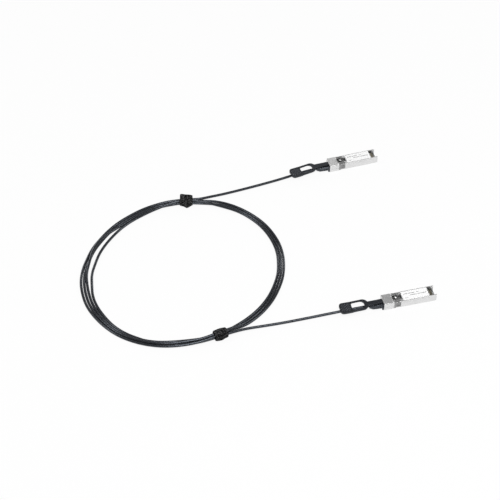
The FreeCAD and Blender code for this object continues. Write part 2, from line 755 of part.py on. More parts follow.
def pull_tab(end):
    """Moulded strap: neck over the boot, window for a finger, thick grip."""
    body = new_body(f"pull_tab_{end}")
    tall = "block_height + tail_length"
    swing = f"end_{end}_swing"
    paddle = polygons(
        body, "XY_Plane", f"tab_paddle_{end}",
        [oblong("neck_length - paddle_length", "neck_length - paddle_front", "paddle_width")],
        "0", swing, "-neck_length",
    )
    pad(body, paddle, tall)
    middle = -(size("paddle_front") + size("paddle_length")) / 2
    soften(
        body, "Fillet", "paddle_rear_round",
        lambda e: along(e, Z_AXIS) and e.BoundBox.XMax < middle,
    )
    soften(
        body, "Fillet", "paddle_front_round",
        lambda e: along(e, Z_AXIS) and e.BoundBox.XMax > -size("window_start"),
    )
    window = polygons(
        body, "XY_Plane", f"tab_window_{end}",
        [oblong("neck_length - window_end", "neck_length - window_start", "window_width")],
        "0", swing, "-neck_length",
    )
    cut(body, window)

    tilt = abs(math.sin(math.radians(size(swing))))
    rim = size("paddle_width") / 2 + size("neck_length") * tilt
    sway = size("window_width") / 2 * tilt + OVERRUN

    def at_window(edge, x):
        """True for an upright edge at a corner of the window."""
        place = edge.BoundBox
        here = abs(place.XMax - size(x)) < sway
        return along(edge, Z_AXIS) and here and abs(place.YMax) < rim

    soften(body, "Fillet", "window_front_round", lambda e: at_window(e, "-window_start"))
    soften(body, "Fillet", "window_rear_round", lambda e: at_window(e, "-window_end"))
    neck = polygons(
        body, "XY_Plane", f"tab_neck_{end}",
        [oblong("-neck_length - neck_lap", "-neck_gap", "neck_width")],
    )
    pad(body, neck, tall)
    far, sky = "-paddle_length - tail_length", f"{tall} + {OVERRUN}"
    above = (
        (f"{OVERRUN}", "neck_top"),
        (f"{OVERRUN}", sky),
        (far, sky),
        (far, "grip_top"),
        ("-window_end", "grip_top"),
        ("-neck_length", "neck_top"),
    )
    below = (
        (f"{OVERRUN}", "neck_bottom"),
        ("-neck_length", "neck_bottom"),
        ("-window_end + grip_blend", "grip_bottom + grip_step"),
        ("-window_end - grip_blend", "grip_bottom"),
        (far, "grip_bottom"),
        (far, f"-{OVERRUN}"),
        (f"{OVERRUN}", f"-{OVERRUN}"),
    )
    for name, profile in (("top", above), ("under", below)):
        sketch = polygons(body, "XZ_Plane", f"tab_{name}_{end}", [profile])
        cut(body, sketch, both_ways=True)
    panel = oblong(
        "neck_length - paddle_length + grip_rim", "neck_length - window_end - grip_rim",
        "paddle_width - 2 * grip_rim",
    )
    for name, level, forward in (("top", "grip_top", False), ("under", "grip_bottom", True)):
        sketch = polygons(
            body, "XY_Plane", f"tab_{name}_panel_{end}", [panel], level, swing, "-neck_length"
        )
        cut(body, sketch, "grip_recess", forward=forward)
    head, tail = "tail_head_width / 2", "tail_width / 2"
    half_slot = (
        ("-tail_length", head),
        ("-tail_length + tail_head_length", head),
        ("-tail_length + tail_head_length", tail),
        (f"-neck_gap + {OVERRUN}", tail),
    )
    mirrored = tuple((x, f"-({y})") for x, y in reversed(half_slot))
    slot = polygons(
        body, "XY_Plane", f"tab_slot_{end}", [half_slot + mirrored], "slide_bottom"
    )
    cut(body, slot, "slide_thickness")
    shoulder = oblong("-neck_gap - strip_lap", f"{OVERRUN}", "strip_width")
    seat = polygons(body, "XY_Plane", f"tab_shoulder_{end}", [shoulder], "slide_bottom")
    cut(body, seat, "slide_thickness")
    place_at_end(body, end)


# Cable entry

BOOT_SLOTS = 4


def strain_relief(end):
    """Moulded boot: flange, tapered slotted barrel and a collared tongue."""
    body = new_body(f"strain_relief_{end}")
    high, half = "boot_lift + flange_height", "flange_width / 2"
    flange = (
        (f"-{half}", "boot_lift"),
        (half, "boot_lift"),
        (half, f"{high} - flange_bevel"),
        (f"{half} - flange_bevel", high),
        (f"-{half} + flange_bevel", high),
        (f"-{half}", f"{high} - flange_bevel"),
    )
    plate = polygons(body, "YZ_Plane", f"boot_flange_{end}", [flange])
    pad(body, plate, "flange_thickness", back=True)
    # Each section: place, width, and shares of the underside's rise and top's fall
    stations = (
        ("-flange_thickness", "boot_front_width", 0.1, 0),
        ("-boot_length + boot_nose_length", "boot_front_width - boot_narrowing", 0.3, 0.25),
        ("-boot_length", "boot_rear_width", 1, 1),
    )
    sections = []
    for index, (x, width, rise, fall) in enumerate(stations):
        side = f"({width}) / 2"
        low = f"boot_lift + {rise} * boot_underside_rise"
        top = f"boot_top - {fall} * boot_top_fall"
        loop = (
            (f"-{side} + boot_bevel", low),
            (f"{side} - boot_bevel", low),
            (side, f"{low} + boot_bevel"),
            (side, f"{top} - boot_bevel"),
            (f"{side} - boot_bevel", top),
            (f"-{side} + boot_bevel", top),
            (f"-{side}", f"{top} - boot_bevel"),
            (f"-{side}", f"{low} + boot_bevel"),
        )
        sections.append(polygons(body, "YZ_Plane", f"boot_section_{index}_{end}", [loop], x))
    barrel = body.newObject("PartDesign::AdditiveLoft", f"boot_barrel_{end}")
    barrel.Profile = sections[0]
    barrel.Sections = sections[1:]
    barrel.Ruled = True
    tongue = circles(body, "YZ_Plane", f"boot_tongue_{end}", [("0", "cable_height")], "gland_radius")
    pad(body, tongue, "rear_wall + seat_gap")
    collar = circles(
        body, "YZ_Plane", f"boot_collar_{end}", [("0", "cable_height")], "collar_radius",
        "rear_wall + seat_gap",
    )
    pad(body, collar, "collar_length")
    bore = circles(
        body, "YZ_Plane", f"boot_bore_{end}", [("0", "cable_height")],
        "cable_diameter / 2 + seat_gap", f"-boot_length - {OVERRUN}",
    )
    cut(body, bore)
    side_slots, top_slots = [], []
    for index in range(BOOT_SLOTS):
        x = f"-flange_thickness - side_slot_start - {index} * boot_slot_pitch"
        low, high = "boot_lift + side_slot_low", "boot_lift + side_slot_high"
        side_slots.append(box(f"{x} - boot_slot", x, low, high))
        x = f"-flange_thickness - top_slot_start - {index} * boot_slot_pitch"
        inner, outer = "neck_width / 2 - top_slot_inner", "neck_width / 2 + top_slot_outer"
        for sign in ("", "-"):
            top_slots.append(box(f"{x} - boot_slot", x, f"{sign}({inner})", f"{sign}({outer})"))
    depth = "boot_front_width / 2 - boot_slot_depth"
    for name, offset, forward in (("near", depth, True), ("far", f"-({depth})", False)):
        sketch = polygons(body, "XZ_Plane", f"boot_{name}_slots_{end}", side_slots, offset)
        cut(body, sketch, forward=forward)
    level = "boot_top - boot_slot_depth"
    cut(body, polygons(body, "XY_Plane", f"boot_top_slots_{end}", top_slots, level))
    place_at_end(body, end)


def crimp_ferrule(end):
    """Sleeve crimped to a hexagon on the jacket, with a round lip at its mouth."""
    body = new_body(f"crimp_ferrule_{end}")
    across, point = "ferrule_flats / 2", "ferrule_flats / sqrt(3)"
    hexagon = (
        (f"-({point})", "cable_height"),
        (f"-({point}) / 2", f"cable_height - {across}"),
        (f"({point}) / 2", f"cable_height - {across}"),
        (point, "cable_height"),
        (f"({point}) / 2", f"cable_height + {across}"),
        (f"-({point}) / 2", f"cable_height + {across}"),
    )
    sleeve = polygons(body, "YZ_Plane", f"ferrule_sleeve_{end}", [hexagon], "ferrule_start")
    pad(body, sleeve, "ferrule_length - ferrule_lip")
    lip = circles(
        body, "YZ_Plane", f"ferrule_lip_{end}", [("0", "cable_height")], "ferrule_lip_radius",
        "ferrule_end - ferrule_lip",
    )
    pad(body, lip, "ferrule_lip")
    bore = circles(
        body, "YZ_Plane", f"ferrule_bore_{end}", [("0", "cable_height")],
        "cable_diameter / 2 + seat_gap",
    )
    cut(body, bore)
    place_at_end(body, end)


# Electronics

def paddle_card(end):
    """Circuit card whose bevelled edge goes into the port's socket."""
    body = new_body(f"paddle_card_{end}")
    outline = polygons(
        body, "XY_Plane", f"card_outline_{end}",
        [oblong("card_start", "card_end", "card_width")], "card_bottom",
    )
    pad(body, outline, "card_thickness")
    soften(
        body, "Chamfer", "card_bevel",
        lambda e: along(e, Y_AXIS) and near(e.BoundBox.XMin, "card_end"),
    )
    place_at_end(body, end)


def contact_pads(end):
    """Gold pads on both faces of the card's edge."""
    pads = []
    count = int(size("pad_count"))
    for index in range(count):
        y = (index - (count - 1) / 2) * size("pad_pitch") - size("pad_width") / 2
        x = size("card_end - pad_setback - pad_length")
        for z in (size("card_top"), size("card_bottom - pad_thickness")):
            pads.append(Part.makeBox(
                size("pad_length"), size("pad_width"), size("pad_thickness"),
                FreeCAD.Vector(x, y, z),
            ))
    place_at_end(new_feature(f"contact_pads_{end}", Part.makeCompound(pads)), end)


def memory_chip(end):
    """Small memory chip under the card."""
    body = new_body(f"memory_chip_{end}")
    outline = polygons(
        body, "XY_Plane", f"chip_outline_{end}",
        [oblong("chip_start", "chip_start + chip_length", "chip_width")],
        "card_bottom - chip_height",
    )
    pad(body, outline, "chip_height")
    place_at_end(body, end)


ARC_SHARE = 0.45                  # of the shorter run that an arc takes up


def bent_path(points):
    """Straight runs joined by tangent arcs as large as the runs allow."""
    spots = [FreeCAD.Vector(*p) for p in points]
    edges, radii, start = [], [], spots[0]
    for before, corner, after in zip(spots, spots[1:], spots[2:]):
        arriving, leaving = corner - before, after - corner
        reach = ARC_SHARE * min(arriving.Length, leaving.Length)
        turn = arriving.getAngle(leaving)
        entry = corner - arriving.normalize() * reach
        exit_ = corner + leaving.normalize() * reach
        radius = reach / math.tan(turn / 2)
        inward = (leaving - arriving).normalize()
        middle = corner + inward * (radius / math.cos(turn / 2) - radius)
        edges.append(Part.LineSegment(start, entry).toShape())
        edges.append(Part.Arc(entry, middle, exit_).toShape())
        radii.append(radius)
        start = exit_
    edges.append(Part.LineSegment(start, spots[-1]).toShape())
    return Part.Wire(edges), radii


def tube(points, radius):
    """Round tube along a bent path, with the radii of its bends."""
    path, radii = bent_path(points)
    first = path.Edges[0]
    heading = first.tangentAt(first.FirstParameter)
    ring = Part.Circle(FreeCAD.Vector(*points[0]), heading, radius)
    shape = path.makePipeShell([Part.Wire(ring.toShape())], True, False)
    return shape, path.Length, radii


def wire_pairs(end):
    """Two flat foil-wrapped pairs from the cable to the faces of the card."""
    strips = []
    thick, width = size("pair_thickness"), size("pair_width")
    for side, level in (
        (1, size("card_top") + thick / 2 + size("seat_gap")),
        (-1, size("card_bottom") - thick / 2 - size("seat_gap")),
    ):
        low = size("cable_height") + side * size("pair_offset")
        lap_start = size("card_start") + size("seat_gap")
        line = (
            (size("cable_seat") + size("seat_gap"), low),
            (lap_start - size("pair_slope"), low),
            (lap_start, level),
            (lap_start + size("pair_lap"), level),
        )
        below = [FreeCAD.Vector(x, -width / 2, z - thick / 2) for x, z in line]
        above = [FreeCAD.Vector(x, -width / 2, z + thick / 2) for x, z in reversed(line)]
        outline = Part.makePolygon(below + above + below[:1])
        strips.append(Part.Face(outline).extrude(FreeCAD.Vector(0, width, 0)))
    place_at_end(new_feature(f"wire_pairs_{end}", Part.makeCompound(strips)), end)


# Trim and fasteners

def emi_gasket(end):
    """Stamped spring-finger band round three sides of the nose."""
    body = new_body(f"emi_gasket_{end}")
    skin, sheet_gap = "nose_width / 2", "nose_width / 2 - gasket_thickness"
    low, high = "foot_step", "nose_top"
    lap = "nose_width / 2 - gasket_return"
    half_band = (
        (skin, low),
        (skin, high),
        (lap, high),
        (lap, f"{high} - gasket_thickness"),
        (sheet_gap, f"{high} - gasket_thickness"),
        (sheet_gap, f"{low} + gasket_thickness"),
    )
    left = tuple((f"-({y})", z) for y, z in reversed(half_band))
    band = polygons(body, "YZ_Plane", f"gasket_band_{end}", [half_band + left], "band_start")
    pad(body, band, "gasket_band")
    root, tip = f"band_end - {MERGE}", "finger_end"
    rise = "band_end + finger_rise * finger_length"
    fall = "finger_end - finger_rise * finger_length"

    def arch(outside, inward):
        """Side view of a finger that bows out between its root and tip."""
        bulge = f"{outside} - ({inward}) * finger_bulge"
        thick = f"({inward}) * gasket_thickness"
        return (
            (root, outside),
            (rise, bulge),
            (fall, bulge),
            (tip, outside),
            (tip, f"{outside} + {thick}"),
            (fall, f"{bulge} + {thick}"),
            (rise, f"{bulge} + {thick}"),
            (root, f"{outside} + {thick}"),
        )

    past = f"finger_end + {OVERRUN}"

    def gaps(fingers, centre):
        """Gaps between fingers, as boxes in the sketch's X and height."""
        between = int(size(fingers)) - 1
        boxes = []
        for index in range(between):
            middle = f"{centre} + {index - (between - 1) / 2} * finger_pitch"
            boxes.append(box("band_end", past, f"{middle} - finger_gap / 2", f"{middle} + finger_gap / 2"))
        return boxes

    under = polygons(body, "XZ_Plane", f"gasket_under_{end}", [arch(low, "1")])
    pad(body, under, "under_width", both_ways=True)
    under_gaps = gaps("under_fingers", "0")
    slots = polygons(body, "XY_Plane", f"gasket_under_gaps_{end}", under_gaps, f"-{OVERRUN}")
    cut(body, slots, f"foot_step + 1.5 * {OVERRUN}")
    wall = arch(f"-({skin})", "1")
    walls = [wall, tuple((x, f"-({y})") for x, y in wall)]
    level = "nose_middle - side_height / 2"
    pad(body, polygons(body, "XY_Plane", f"gasket_sides_{end}", walls, level), "side_height")
    side_gaps = gaps("side_fingers", "nose_middle")
    cut(body, polygons(body, "XZ_Plane", f"gasket_side_gaps_{end}", side_gaps), both_ways=True)
    top = tuple((x, f"({high}) + ({low}) - ({z})") for x, z in arch(low, "1"))
    over = polygons(body, "XZ_Plane", f"gasket_over_{end}", [top])
    pad(body, over, "nose_width - 2 * finger_inset", both_ways=True)
    clear = [oblong(f"band_end - 2 * {MERGE}", past, f"2 * ({lap})")]
    level = f"nose_top - {OVERRUN}"
    cut(body, polygons(body, "XY_Plane", f"gasket_over_gap_{end}", clear, level))
    place_at_end(body, end)


def label(end):
    """Bare label in its seat on the cover."""
    body = new_body(f"label_{end}")
    outline = polygons(
        body, "XY_Plane", f"label_outline_{end}",
        [oblong("label_start", "label_end", "label_width")],
        "nose_top - label_recess",
    )
    pad(body, outline, "label_thickness")
    place_at_end(body, end)


def shell_screws(end):
    """Two screws that clamp base, cover and cap, driven from the floor side."""
    screws = []
    depth = size("cap_seat + screw_bite")
    length, width = size("drive_length"), size("drive_width")
    for y in (size("screw_spread") / 2, -size("screw_spread") / 2):
        at = FreeCAD.Vector(size("screw_station"), y, size("seat_gap"))
        head = Part.makeCylinder(size("screw_head") / 2, size("screw_head_height"), at)
        shank = Part.makeCylinder(size("screw_diameter") / 2, depth, at)
        slot = Part.makeBox(length, width, size("drive_depth"))
        slot.translate(at - FreeCAD.Vector(length / 2, width / 2, 0))
        cross = slot.copy()
        cross.rotate(at, Z_AXIS, 90)
        screws.append(head.fuse(shank).removeSplitter().cut(slot.fuse(cross)))
    place_at_end(new_feature(f"shell_screws_{end}", Part.makeCompound(screws)), end)


# Cable, coil and straps

def at_end(end, x):
    """Point on an end's cable axis, in the frame of the whole part."""
    turn = math.radians(size(f"end_{end}_turn"))
    return (
        size(f"end_{end}_x") + x * math.cos(turn),
        size(f"end_{end}_y") + x * math.sin(turn),
        size("cable_height"),
    )


def at_tie(tie, along_strap, outward, z):
    """Point beside a strap, by distances along and across the bundle."""
    angle = math.radians(size(f"{tie}_tie_angle"))
    radius = size(f"{tie}_tie_radius") + outward
    return (
        size("coil_x") + radius * math.cos(angle) + along_strap * math.sin(angle),
        size("coil_y") + radius * math.sin(angle) - along_strap * math.cos(angle),
        z,
    )


def lead(name, points):
    """One lead of the cable, with its length and tightest bend printed."""
    radius = size("cable_diameter") / 2
    shape, length, radii = tube(points, radius)
    ratio = shape.Volume / (math.pi * radius ** 2 * length)
    print(f"{name}: {length:.1f} mm, bends {[round(r) for r in radii]}, volume ratio {ratio:.4f}")
    new_feature(name, shape)


def leads():
    """Lead from each end to its strap, square to the bundle's end."""
    low = size("strap_thickness") + size("cable_diameter") / 2
    face = size("strap_width") / 2 + size("waist_spare")
    outer_a = (size("upper_bundle_width") - size("cable_diameter")) / 2
    outer_b = (size("lower_bundle_width") - size("cable_diameter")) / 2
    lead("cable_lead_a", (
        at_end("a", size("cable_seat")),
        at_end("a", -BOOT_RUN),
        *LEAD_A_ROUTE,
        at_tie("upper", face + LEAD_STRAIGHT, outer_a, low),
        at_tie("upper", face, outer_a, low),
    ))
    lead("cable_lead_b", (
        at_tie("lower", -face, outer_b, low),
        at_tie("lower", -face - LEAD_STRAIGHT, outer_b, low),
        *LEAD_B_ROUTE,
        at_end("b", -BOOT_RUN),
        at_end("b", size("cable_seat")),
    ))


def crescent(outline):
    """Flat solid between the inner and outer curves of part of the coil."""
    middle = FreeCAD.Vector(size("coil_x"), size("coil_y"), 0)

    def curve(column):
        spots = []
        for row in outline:
            angle = math.radians(row[0])
            arm = FreeCAD.Vector(math.cos(angle), math.sin(angle), 0)
            spots.append(middle + arm * row[column])
        spline = Part.BSplineCurve()
        spline.interpolate(spots)
        return spline.toShape().discretize(Number=corners)

    corners = 1 + round((outline[-1][0] - outline[0][0]) / COIL_STEP)
    inner, outer = curve(1), curve(2)
    edge = Part.makePolygon(inner + outer[::-1] + inner[:1])
    return Part.Face(edge).extrude(FreeCAD.Vector(0, 0, size("coil_height")))


def waist(tie):
    """Squeezed bundle under a strap, as a block along the bundle."""
    length = size("strap_width") + 2 * size("waist_spare")
    width, height = size(f"{tie}_bundle_width"), size(f"{tie}_bundle_height")
    block = Part.makeBox(length, width, height, FreeCAD.Vector(-length / 2, -width / 2, 0))
    block.Placement = tie_place(tie, size("strap_thickness"))
    return block


def tie_place(tie, z):
    """Placement whose X runs along the bundle and Y away from the coil's middle."""
    turn = FreeCAD.Rotation(Z_AXIS, size(f"{tie}_tie_angle") - 90)
    return FreeCAD.Placement(FreeCAD.Vector(*at_tie(tie, 0, 0, z)), turn)


def cable_coil():
    """Outer shape of the coiled cable, one closed solid."""
    coil = crescent(LEFT_OUTLINE).fuse(crescent(RIGHT_OUTLINE))
    length = size("strap_width") + 2 * size("waist_spare")
    for tie in ("upper", "lower"):
        width = 4 * size(f"{tie}_bundle_width")
        height = 4 * size("coil_height")
        corner = FreeCAD.Vector(-length / 2, -width / 2, -OVERRUN)
        room = Part.makeBox(length, width, height, corner)
        room.Placement = tie_place(tie, 0)
        coil = coil.cut(room).fuse(waist(tie))
    new_feature("cable_coil", coil.removeSplitter())


# End of a strap: shares of its width, and of how far it stands proud
TAIL_PROFILE = ((-0.40, -0.25), (-0.28, 0.6), (0.10, 1.0), (0.30, 0.4), (0.38, -0.25))


def cable_tie(tie):
    """Hook-and-loop strap wound tightly round the bundle."""
    body = new_body(f"cable_tie_{tie}")
    width, height = f"{tie}_bundle_width", f"{tie}_bundle_height"
    skin = "strap_thickness"
    outer = box(
        f"-({width}) / 2 - {skin}", f"({width}) / 2 + {skin}", "0", f"{height} + 2 * {skin}"
    )
    band = polygons(body, "YZ_Plane", f"strap_band_{tie}", [outer])
    pad(body, band, "strap_width", both_ways=True)
    soften(body, "Fillet", "strap_round", lambda e: along(e, X_AXIS))
    soften(body, "Chamfer", "strap_end_bevel", lambda e: e.BoundBox.XLength < SAME)
    if tie == "upper":
        face = f"-({width}) / 2 - {skin}"
        flap = tuple(
            (f"{share} * strap_width", f"{face} - {proud} * strap_tail")
            for share, proud in TAIL_PROFILE
        )
        tail = polygons(body, "XY_Plane", f"strap_tail_{tie}", [flap], "strap_round")
        pad(body, tail, f"{height} + 2 * {skin} - 2 * strap_round")
    bore = box(f"-({width}) / 2", f"({width}) / 2", skin, f"{skin} + {height}")
    cut(body, polygons(body, "YZ_Plane", f"strap_bore_{tie}", [bore]), both_ways=True)
    body.Placement = tie_place(tie, 0)


for end in ENDS:
    housing_base(end)
    housing_cover(end)
    latch_cap(end)
    latch_slide(end)
    return_spring(end)
    pull_tab(end)
    strain_relief(end)
    crimp_ferrule(end)
    paddle_card(end)
    contact_pads(end)
    memory_chip(end)
    wire_pairs(end)
    emi_gasket(end)
    label(end)
    shell_screws(end)
leads()
cable_coil()
cable_tie("upper")
cable_tie("lower")
doc.recompute()

# Check every object, then write one file for each piece

faults = [o.Name for o in doc.Objects if {"Invalid", "Error"} & set(o.State)]
for name, piece in pieces.items():
    shape = piece.Shape
    if shape.isNull() or not shape.isValid() or not shape.Solids:
        faults.append(name)
if faults:
    raise RuntimeError("faulty objects: " + ", ".join(faults))

os.makedirs("parts", exist_ok=True)
for name, piece in pieces.items():
    piece.Shape.exportStep(f"parts/{name}.step")
    print(f"{name}: {len(piece.Shape.Solids)} solids, {piece.Shape.Volume:.1f} mm3")
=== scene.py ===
# %% [markdown]
# # A coiled copper cable with two pluggable ends
#
# Such a cable joins two devices of one rack. It has a pluggable end on each
# side, which lets go when its black strap is pulled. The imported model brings
# every rigid piece at its real size and place, so none of them is modelled
# again here. This script dresses it: it lays the real cable along its turns,
# winds the two straps, adds what is too fine for the model, gives each
# surface its finish, and sets up the floor, the light and the camera.
# Lengths are metres, +Z is up and the floor is at Z = 0.

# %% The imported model
import json
import math

import bmesh
import bpy
from mathutils import Matrix, Quaternion, Vector, noise


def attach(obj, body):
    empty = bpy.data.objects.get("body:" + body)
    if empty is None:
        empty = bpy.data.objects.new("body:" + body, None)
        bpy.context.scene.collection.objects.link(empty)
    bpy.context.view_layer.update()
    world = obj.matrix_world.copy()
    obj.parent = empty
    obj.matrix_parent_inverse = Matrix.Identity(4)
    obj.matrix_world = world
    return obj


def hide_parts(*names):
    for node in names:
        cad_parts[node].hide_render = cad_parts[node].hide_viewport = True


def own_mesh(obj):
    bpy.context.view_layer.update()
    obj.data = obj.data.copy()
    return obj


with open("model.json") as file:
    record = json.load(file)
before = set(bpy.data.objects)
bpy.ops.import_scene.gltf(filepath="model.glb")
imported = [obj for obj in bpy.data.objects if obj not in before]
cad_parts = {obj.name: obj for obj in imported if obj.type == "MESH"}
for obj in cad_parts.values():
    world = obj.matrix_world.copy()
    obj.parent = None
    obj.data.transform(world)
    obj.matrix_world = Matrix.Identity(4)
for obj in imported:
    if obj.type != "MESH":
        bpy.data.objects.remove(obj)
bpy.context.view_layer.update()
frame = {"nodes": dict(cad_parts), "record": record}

MM = 0.001


# %% [markdown]
# ## Writing shader maths as sums
#
# A finish is a graph of nodes. It could be built node by node and link by
# link, but sums are easier to read and to change. So one small class wraps
# an output socket, and `1 - mask` or `grain * 0.2` adds its Math node.

# %% Sockets that can be added and multiplied
class Signal:
    """An output socket that arithmetic can be done on."""

    def __init__(self, graph, socket):
        self.graph = graph
        self.socket = socket

    def math(self, operation, *terms):
        return self.graph.node("Math", {"operation": operation}, dict(enumerate(terms)))

    def __add__(self, other):
        return self.math("ADD", self, other)

    def __sub__(self, other):
        return self.math("SUBTRACT", self, other)

    def __rsub__(self, other):
        return self.math("SUBTRACT", other, self)

    def __mul__(self, other):
        return self.math("MULTIPLY", self, other)

    __radd__ = __add__
    __rmul__ = __mul__


print("sockets can be added, subtracted and multiplied")

# %% [markdown]
# Every other node comes from one method. It makes the node's own choices
# first, because they decide which sockets the node shows, and then it fills
# or links those sockets. A material and the world both have such a graph.

# %% A graph of nodes
class Graph:
    """The nodes of a material or of the world."""

    def __init__(self, tree):
        self.tree = tree

    def node(self, kind, settings, sockets, output=0):
        """Add a node, make its choices, then fill or link its sockets."""
        made = self.tree.nodes.new("ShaderNode" + kind)
        for choice, value in settings.items():
            setattr(made, choice, value)
        for key, value in sockets.items():
            self.fill(self.find(made.inputs, key), value)
        return Signal(self, self.find(made.outputs, output))

    @staticmethod
    def find(sockets, key):
        """A socket by place or by name, among those that the node shows."""
        shown = [socket for socket in sockets if socket.enabled]
        if isinstance(key, int):
            return shown[key]
        return next(socket for socket in shown if socket.name == key)

    def fill(self, socket, value):
        if isinstance(value, Signal):
            self.tree.links.new(value.socket, socket)
        else:
            socket.default_value = value


def grey(level):
    return (level, level, level, 1.0)


print("a graph has one method for all its nodes")

# %% [markdown]
# ## What a finish is made of
#
# Each finish is one Principled shader. What is the same all over the piece
# is set on the shader's own sockets. What changes over the surface is a
# signal: clouds and grain are noise in the model's own metres, so that they
# keep their scale on every piece. Edges could be rounded in the mesh, but
# that costs many faces, so the Bevel node rounds them in the shading.

# %% A finish and its signals
OPENNESS_SAMPLES = 8
BEVEL_SAMPLES = 6


class Finish(Graph):
    """A material with one Principled shader and the nodes that feed it."""

    def __init__(self, name, **constants):
        self.material = bpy.data.materials.new(name)
        self.material.use_nodes = True
        super().__init__(self.material.node_tree)
        self.shader = self.tree.nodes["Principled BSDF"]
        self.feed(**constants)

    def feed(self, **signals):
        """Fill or link the shader's own sockets."""
        for socket, signal in signals.items():
            self.fill(self.shader.inputs[socket.replace("_", " ")], signal)

    def noise(self, scale, detail=2.0, roughness=0.5):
        """Cloudy pattern in the model's own metres, from 0 to 1."""
        place = self.node("TexCoord", {}, {}, "Object")
        sockets = {"Vector": place, "Scale": scale, "Detail": detail, "Roughness": roughness}
        return self.node("TexNoise", {}, sockets, "Fac")

    def blend(self, factor, low, high):
        """Colour between two colours."""
        return self.node("Mix", {"data_type": "RGBA"}, {"Factor": factor, "A": low, "B": high})

    def ramp(self, factor, start, end):
        """Number that goes from 0 to 1 while the factor crosses a range."""
        return self.node("MapRange", {}, {0: factor, 1: start, 2: end, 3: 0.0, 4: 1.0})

    def openness(self, reach):
        """Number that is 1 on outer faces and falls in the piece's own hollows."""
        settings = {"samples": OPENNESS_SAMPLES, "only_local": True}
        return self.node("AmbientOcclusion", settings, {"Distance": reach}, "AO")

    def rounded(self, radius, height=None, depth=0.0):
        """Normal with softened edges and, if given, a fine relief."""
        soft = self.node("Bevel", {"samples": BEVEL_SAMPLES}, {"Radius": radius})
        if height is None:
            return soft
        return self.node("Bump", {}, {"Height": height, "Distance": depth, "Normal": soft})


print("signals: noise, blend, ramp, openness, rounded")

# %% [markdown]
# ## Cast metal
#
# The shells are zinc castings with a satin plating. Such metal is bright but
# not mirror-like: a full metal shader with medium roughness, broken up by a
# fine grain, and with wide soft edges, because a casting has no sharp ones.
# Its hollows look dark, since light that bounces about in them comes out
# weakly. More bounces would show that slowly, so a measure of how open the
# surface is darkens the hollows instead.

# %% The shells' zinc
CAST_GREYS = (0.72, 0.84)
PAINTED_HOLLOW_SHADE = 0.16
HOLLOW_REACH = 9.0 * MM
HOLLOW_BELOW = 0.62
CAST_ROUGHNESS = 0.30
GRAIN_ROUGHENS = 0.14
CAST_EDGE = 0.35 * MM
CAST_RELIEF = 0.05 * MM


def cast_metal():
    finish = Finish("cast_zinc_finish", Metallic=1.0)
    clouds = finish.noise(scale=160.0, detail=3.0)
    grain = finish.noise(scale=1500.0, detail=3.0, roughness=0.7)
    outside = finish.ramp(finish.openness(HOLLOW_REACH), HOLLOW_BELOW, 1.0)
    plated = finish.blend(clouds, grey(CAST_GREYS[0]), grey(CAST_GREYS[1]))
    # Painted shade: where the piece is closed in, its colour falls to a dark grey.
    finish.feed(
        Base_Color=finish.blend(outside, grey(PAINTED_HOLLOW_SHADE), plated),
        Roughness=CAST_ROUGHNESS + grain * GRAIN_ROUGHENS,
        Normal=finish.rounded(CAST_EDGE, grain, CAST_RELIEF),
    )
    return finish.material


FINISHES = {"die_cast_zinc": cast_metal()}
print("metals:", *FINISHES)

# %% [markdown]
# ## Stamped metal
#
# Springs, gaskets and latch slides are stamped or wound from thin steel.
# They are smoother than a casting and their edges are crisp, so one function
# makes all three, from a darker and a lighter grey and a roughness. The
# springs are bare and bright. The gaskets are tinned, and their grey is
# darkened further as painted shade, for the shade among their fingers. The
# slides' grey is the darkest, as painted shade for the shade round them in
# the shell's opening.

# %% Three steels
STAMPED_EDGE = 0.06 * MM
STREAKS_ROUGHEN = 0.12


def stamped_metal(name, low, high, roughness):
    finish = Finish(name, Metallic=1.0)
    streaks = finish.noise(scale=700.0)
    finish.feed(
        Base_Color=finish.blend(streaks, grey(low), grey(high)),
        Roughness=roughness + streaks * STREAKS_ROUGHEN,
        Normal=finish.rounded(STAMPED_EDGE),
    )
    return finish.material


# The gaskets' and the slides' darker greys are painted shade.
FINISHES.update(
    spring_steel=stamped_metal("spring_steel_finish", low=0.50, high=0.66, roughness=0.24),
    dull_steel=stamped_metal("dull_steel_finish", low=0.17, high=0.30, roughness=0.48),
    tinned_steel=stamped_metal("tinned_steel_finish", low=0.28, high=0.42, roughness=0.42),
)
print("metals:", *FINISHES)

# %% [markdown]
# ## Black plastics
#
# The jacket, the boot and the pull tab are all black, but they don't shine
# alike. The jacket is extruded and smooth, the boot is moulded with a satin
# skin, and the tab has a fine spark-eroded grain. One black for all three
# would look flat, because black shows its form only through what it mirrors.
# So they share one function and differ in gloss, roughness and grain. What
# they mirror is tinted a little blue, which makes the black look cool.

# %% Jacket, boot and tab
CLOUD_TINT = (1.8, 1.9, 2.3)
CLOUDS_ROUGHEN = 0.14
MIRROR_TINT = (0.80, 0.88, 1.0, 1.0)


def black_plastic(name, base, roughness, grain_scale, relief, edge, gloss=0.5):
    finish = Finish(name, Specular_IOR_Level=gloss, Specular_Tint=MIRROR_TINT)
    clouds = finish.noise(scale=220.0, detail=3.0)
    grain = finish.noise(scale=grain_scale)
    cloudy = tuple(base * share for share in CLOUD_TINT) + (1.0,)
    finish.feed(
        Base_Color=finish.blend(clouds, grey(base), cloudy),
        Roughness=roughness + clouds * CLOUDS_ROUGHEN,
        Normal=finish.rounded(edge, grain, relief),
    )
    return finish.material


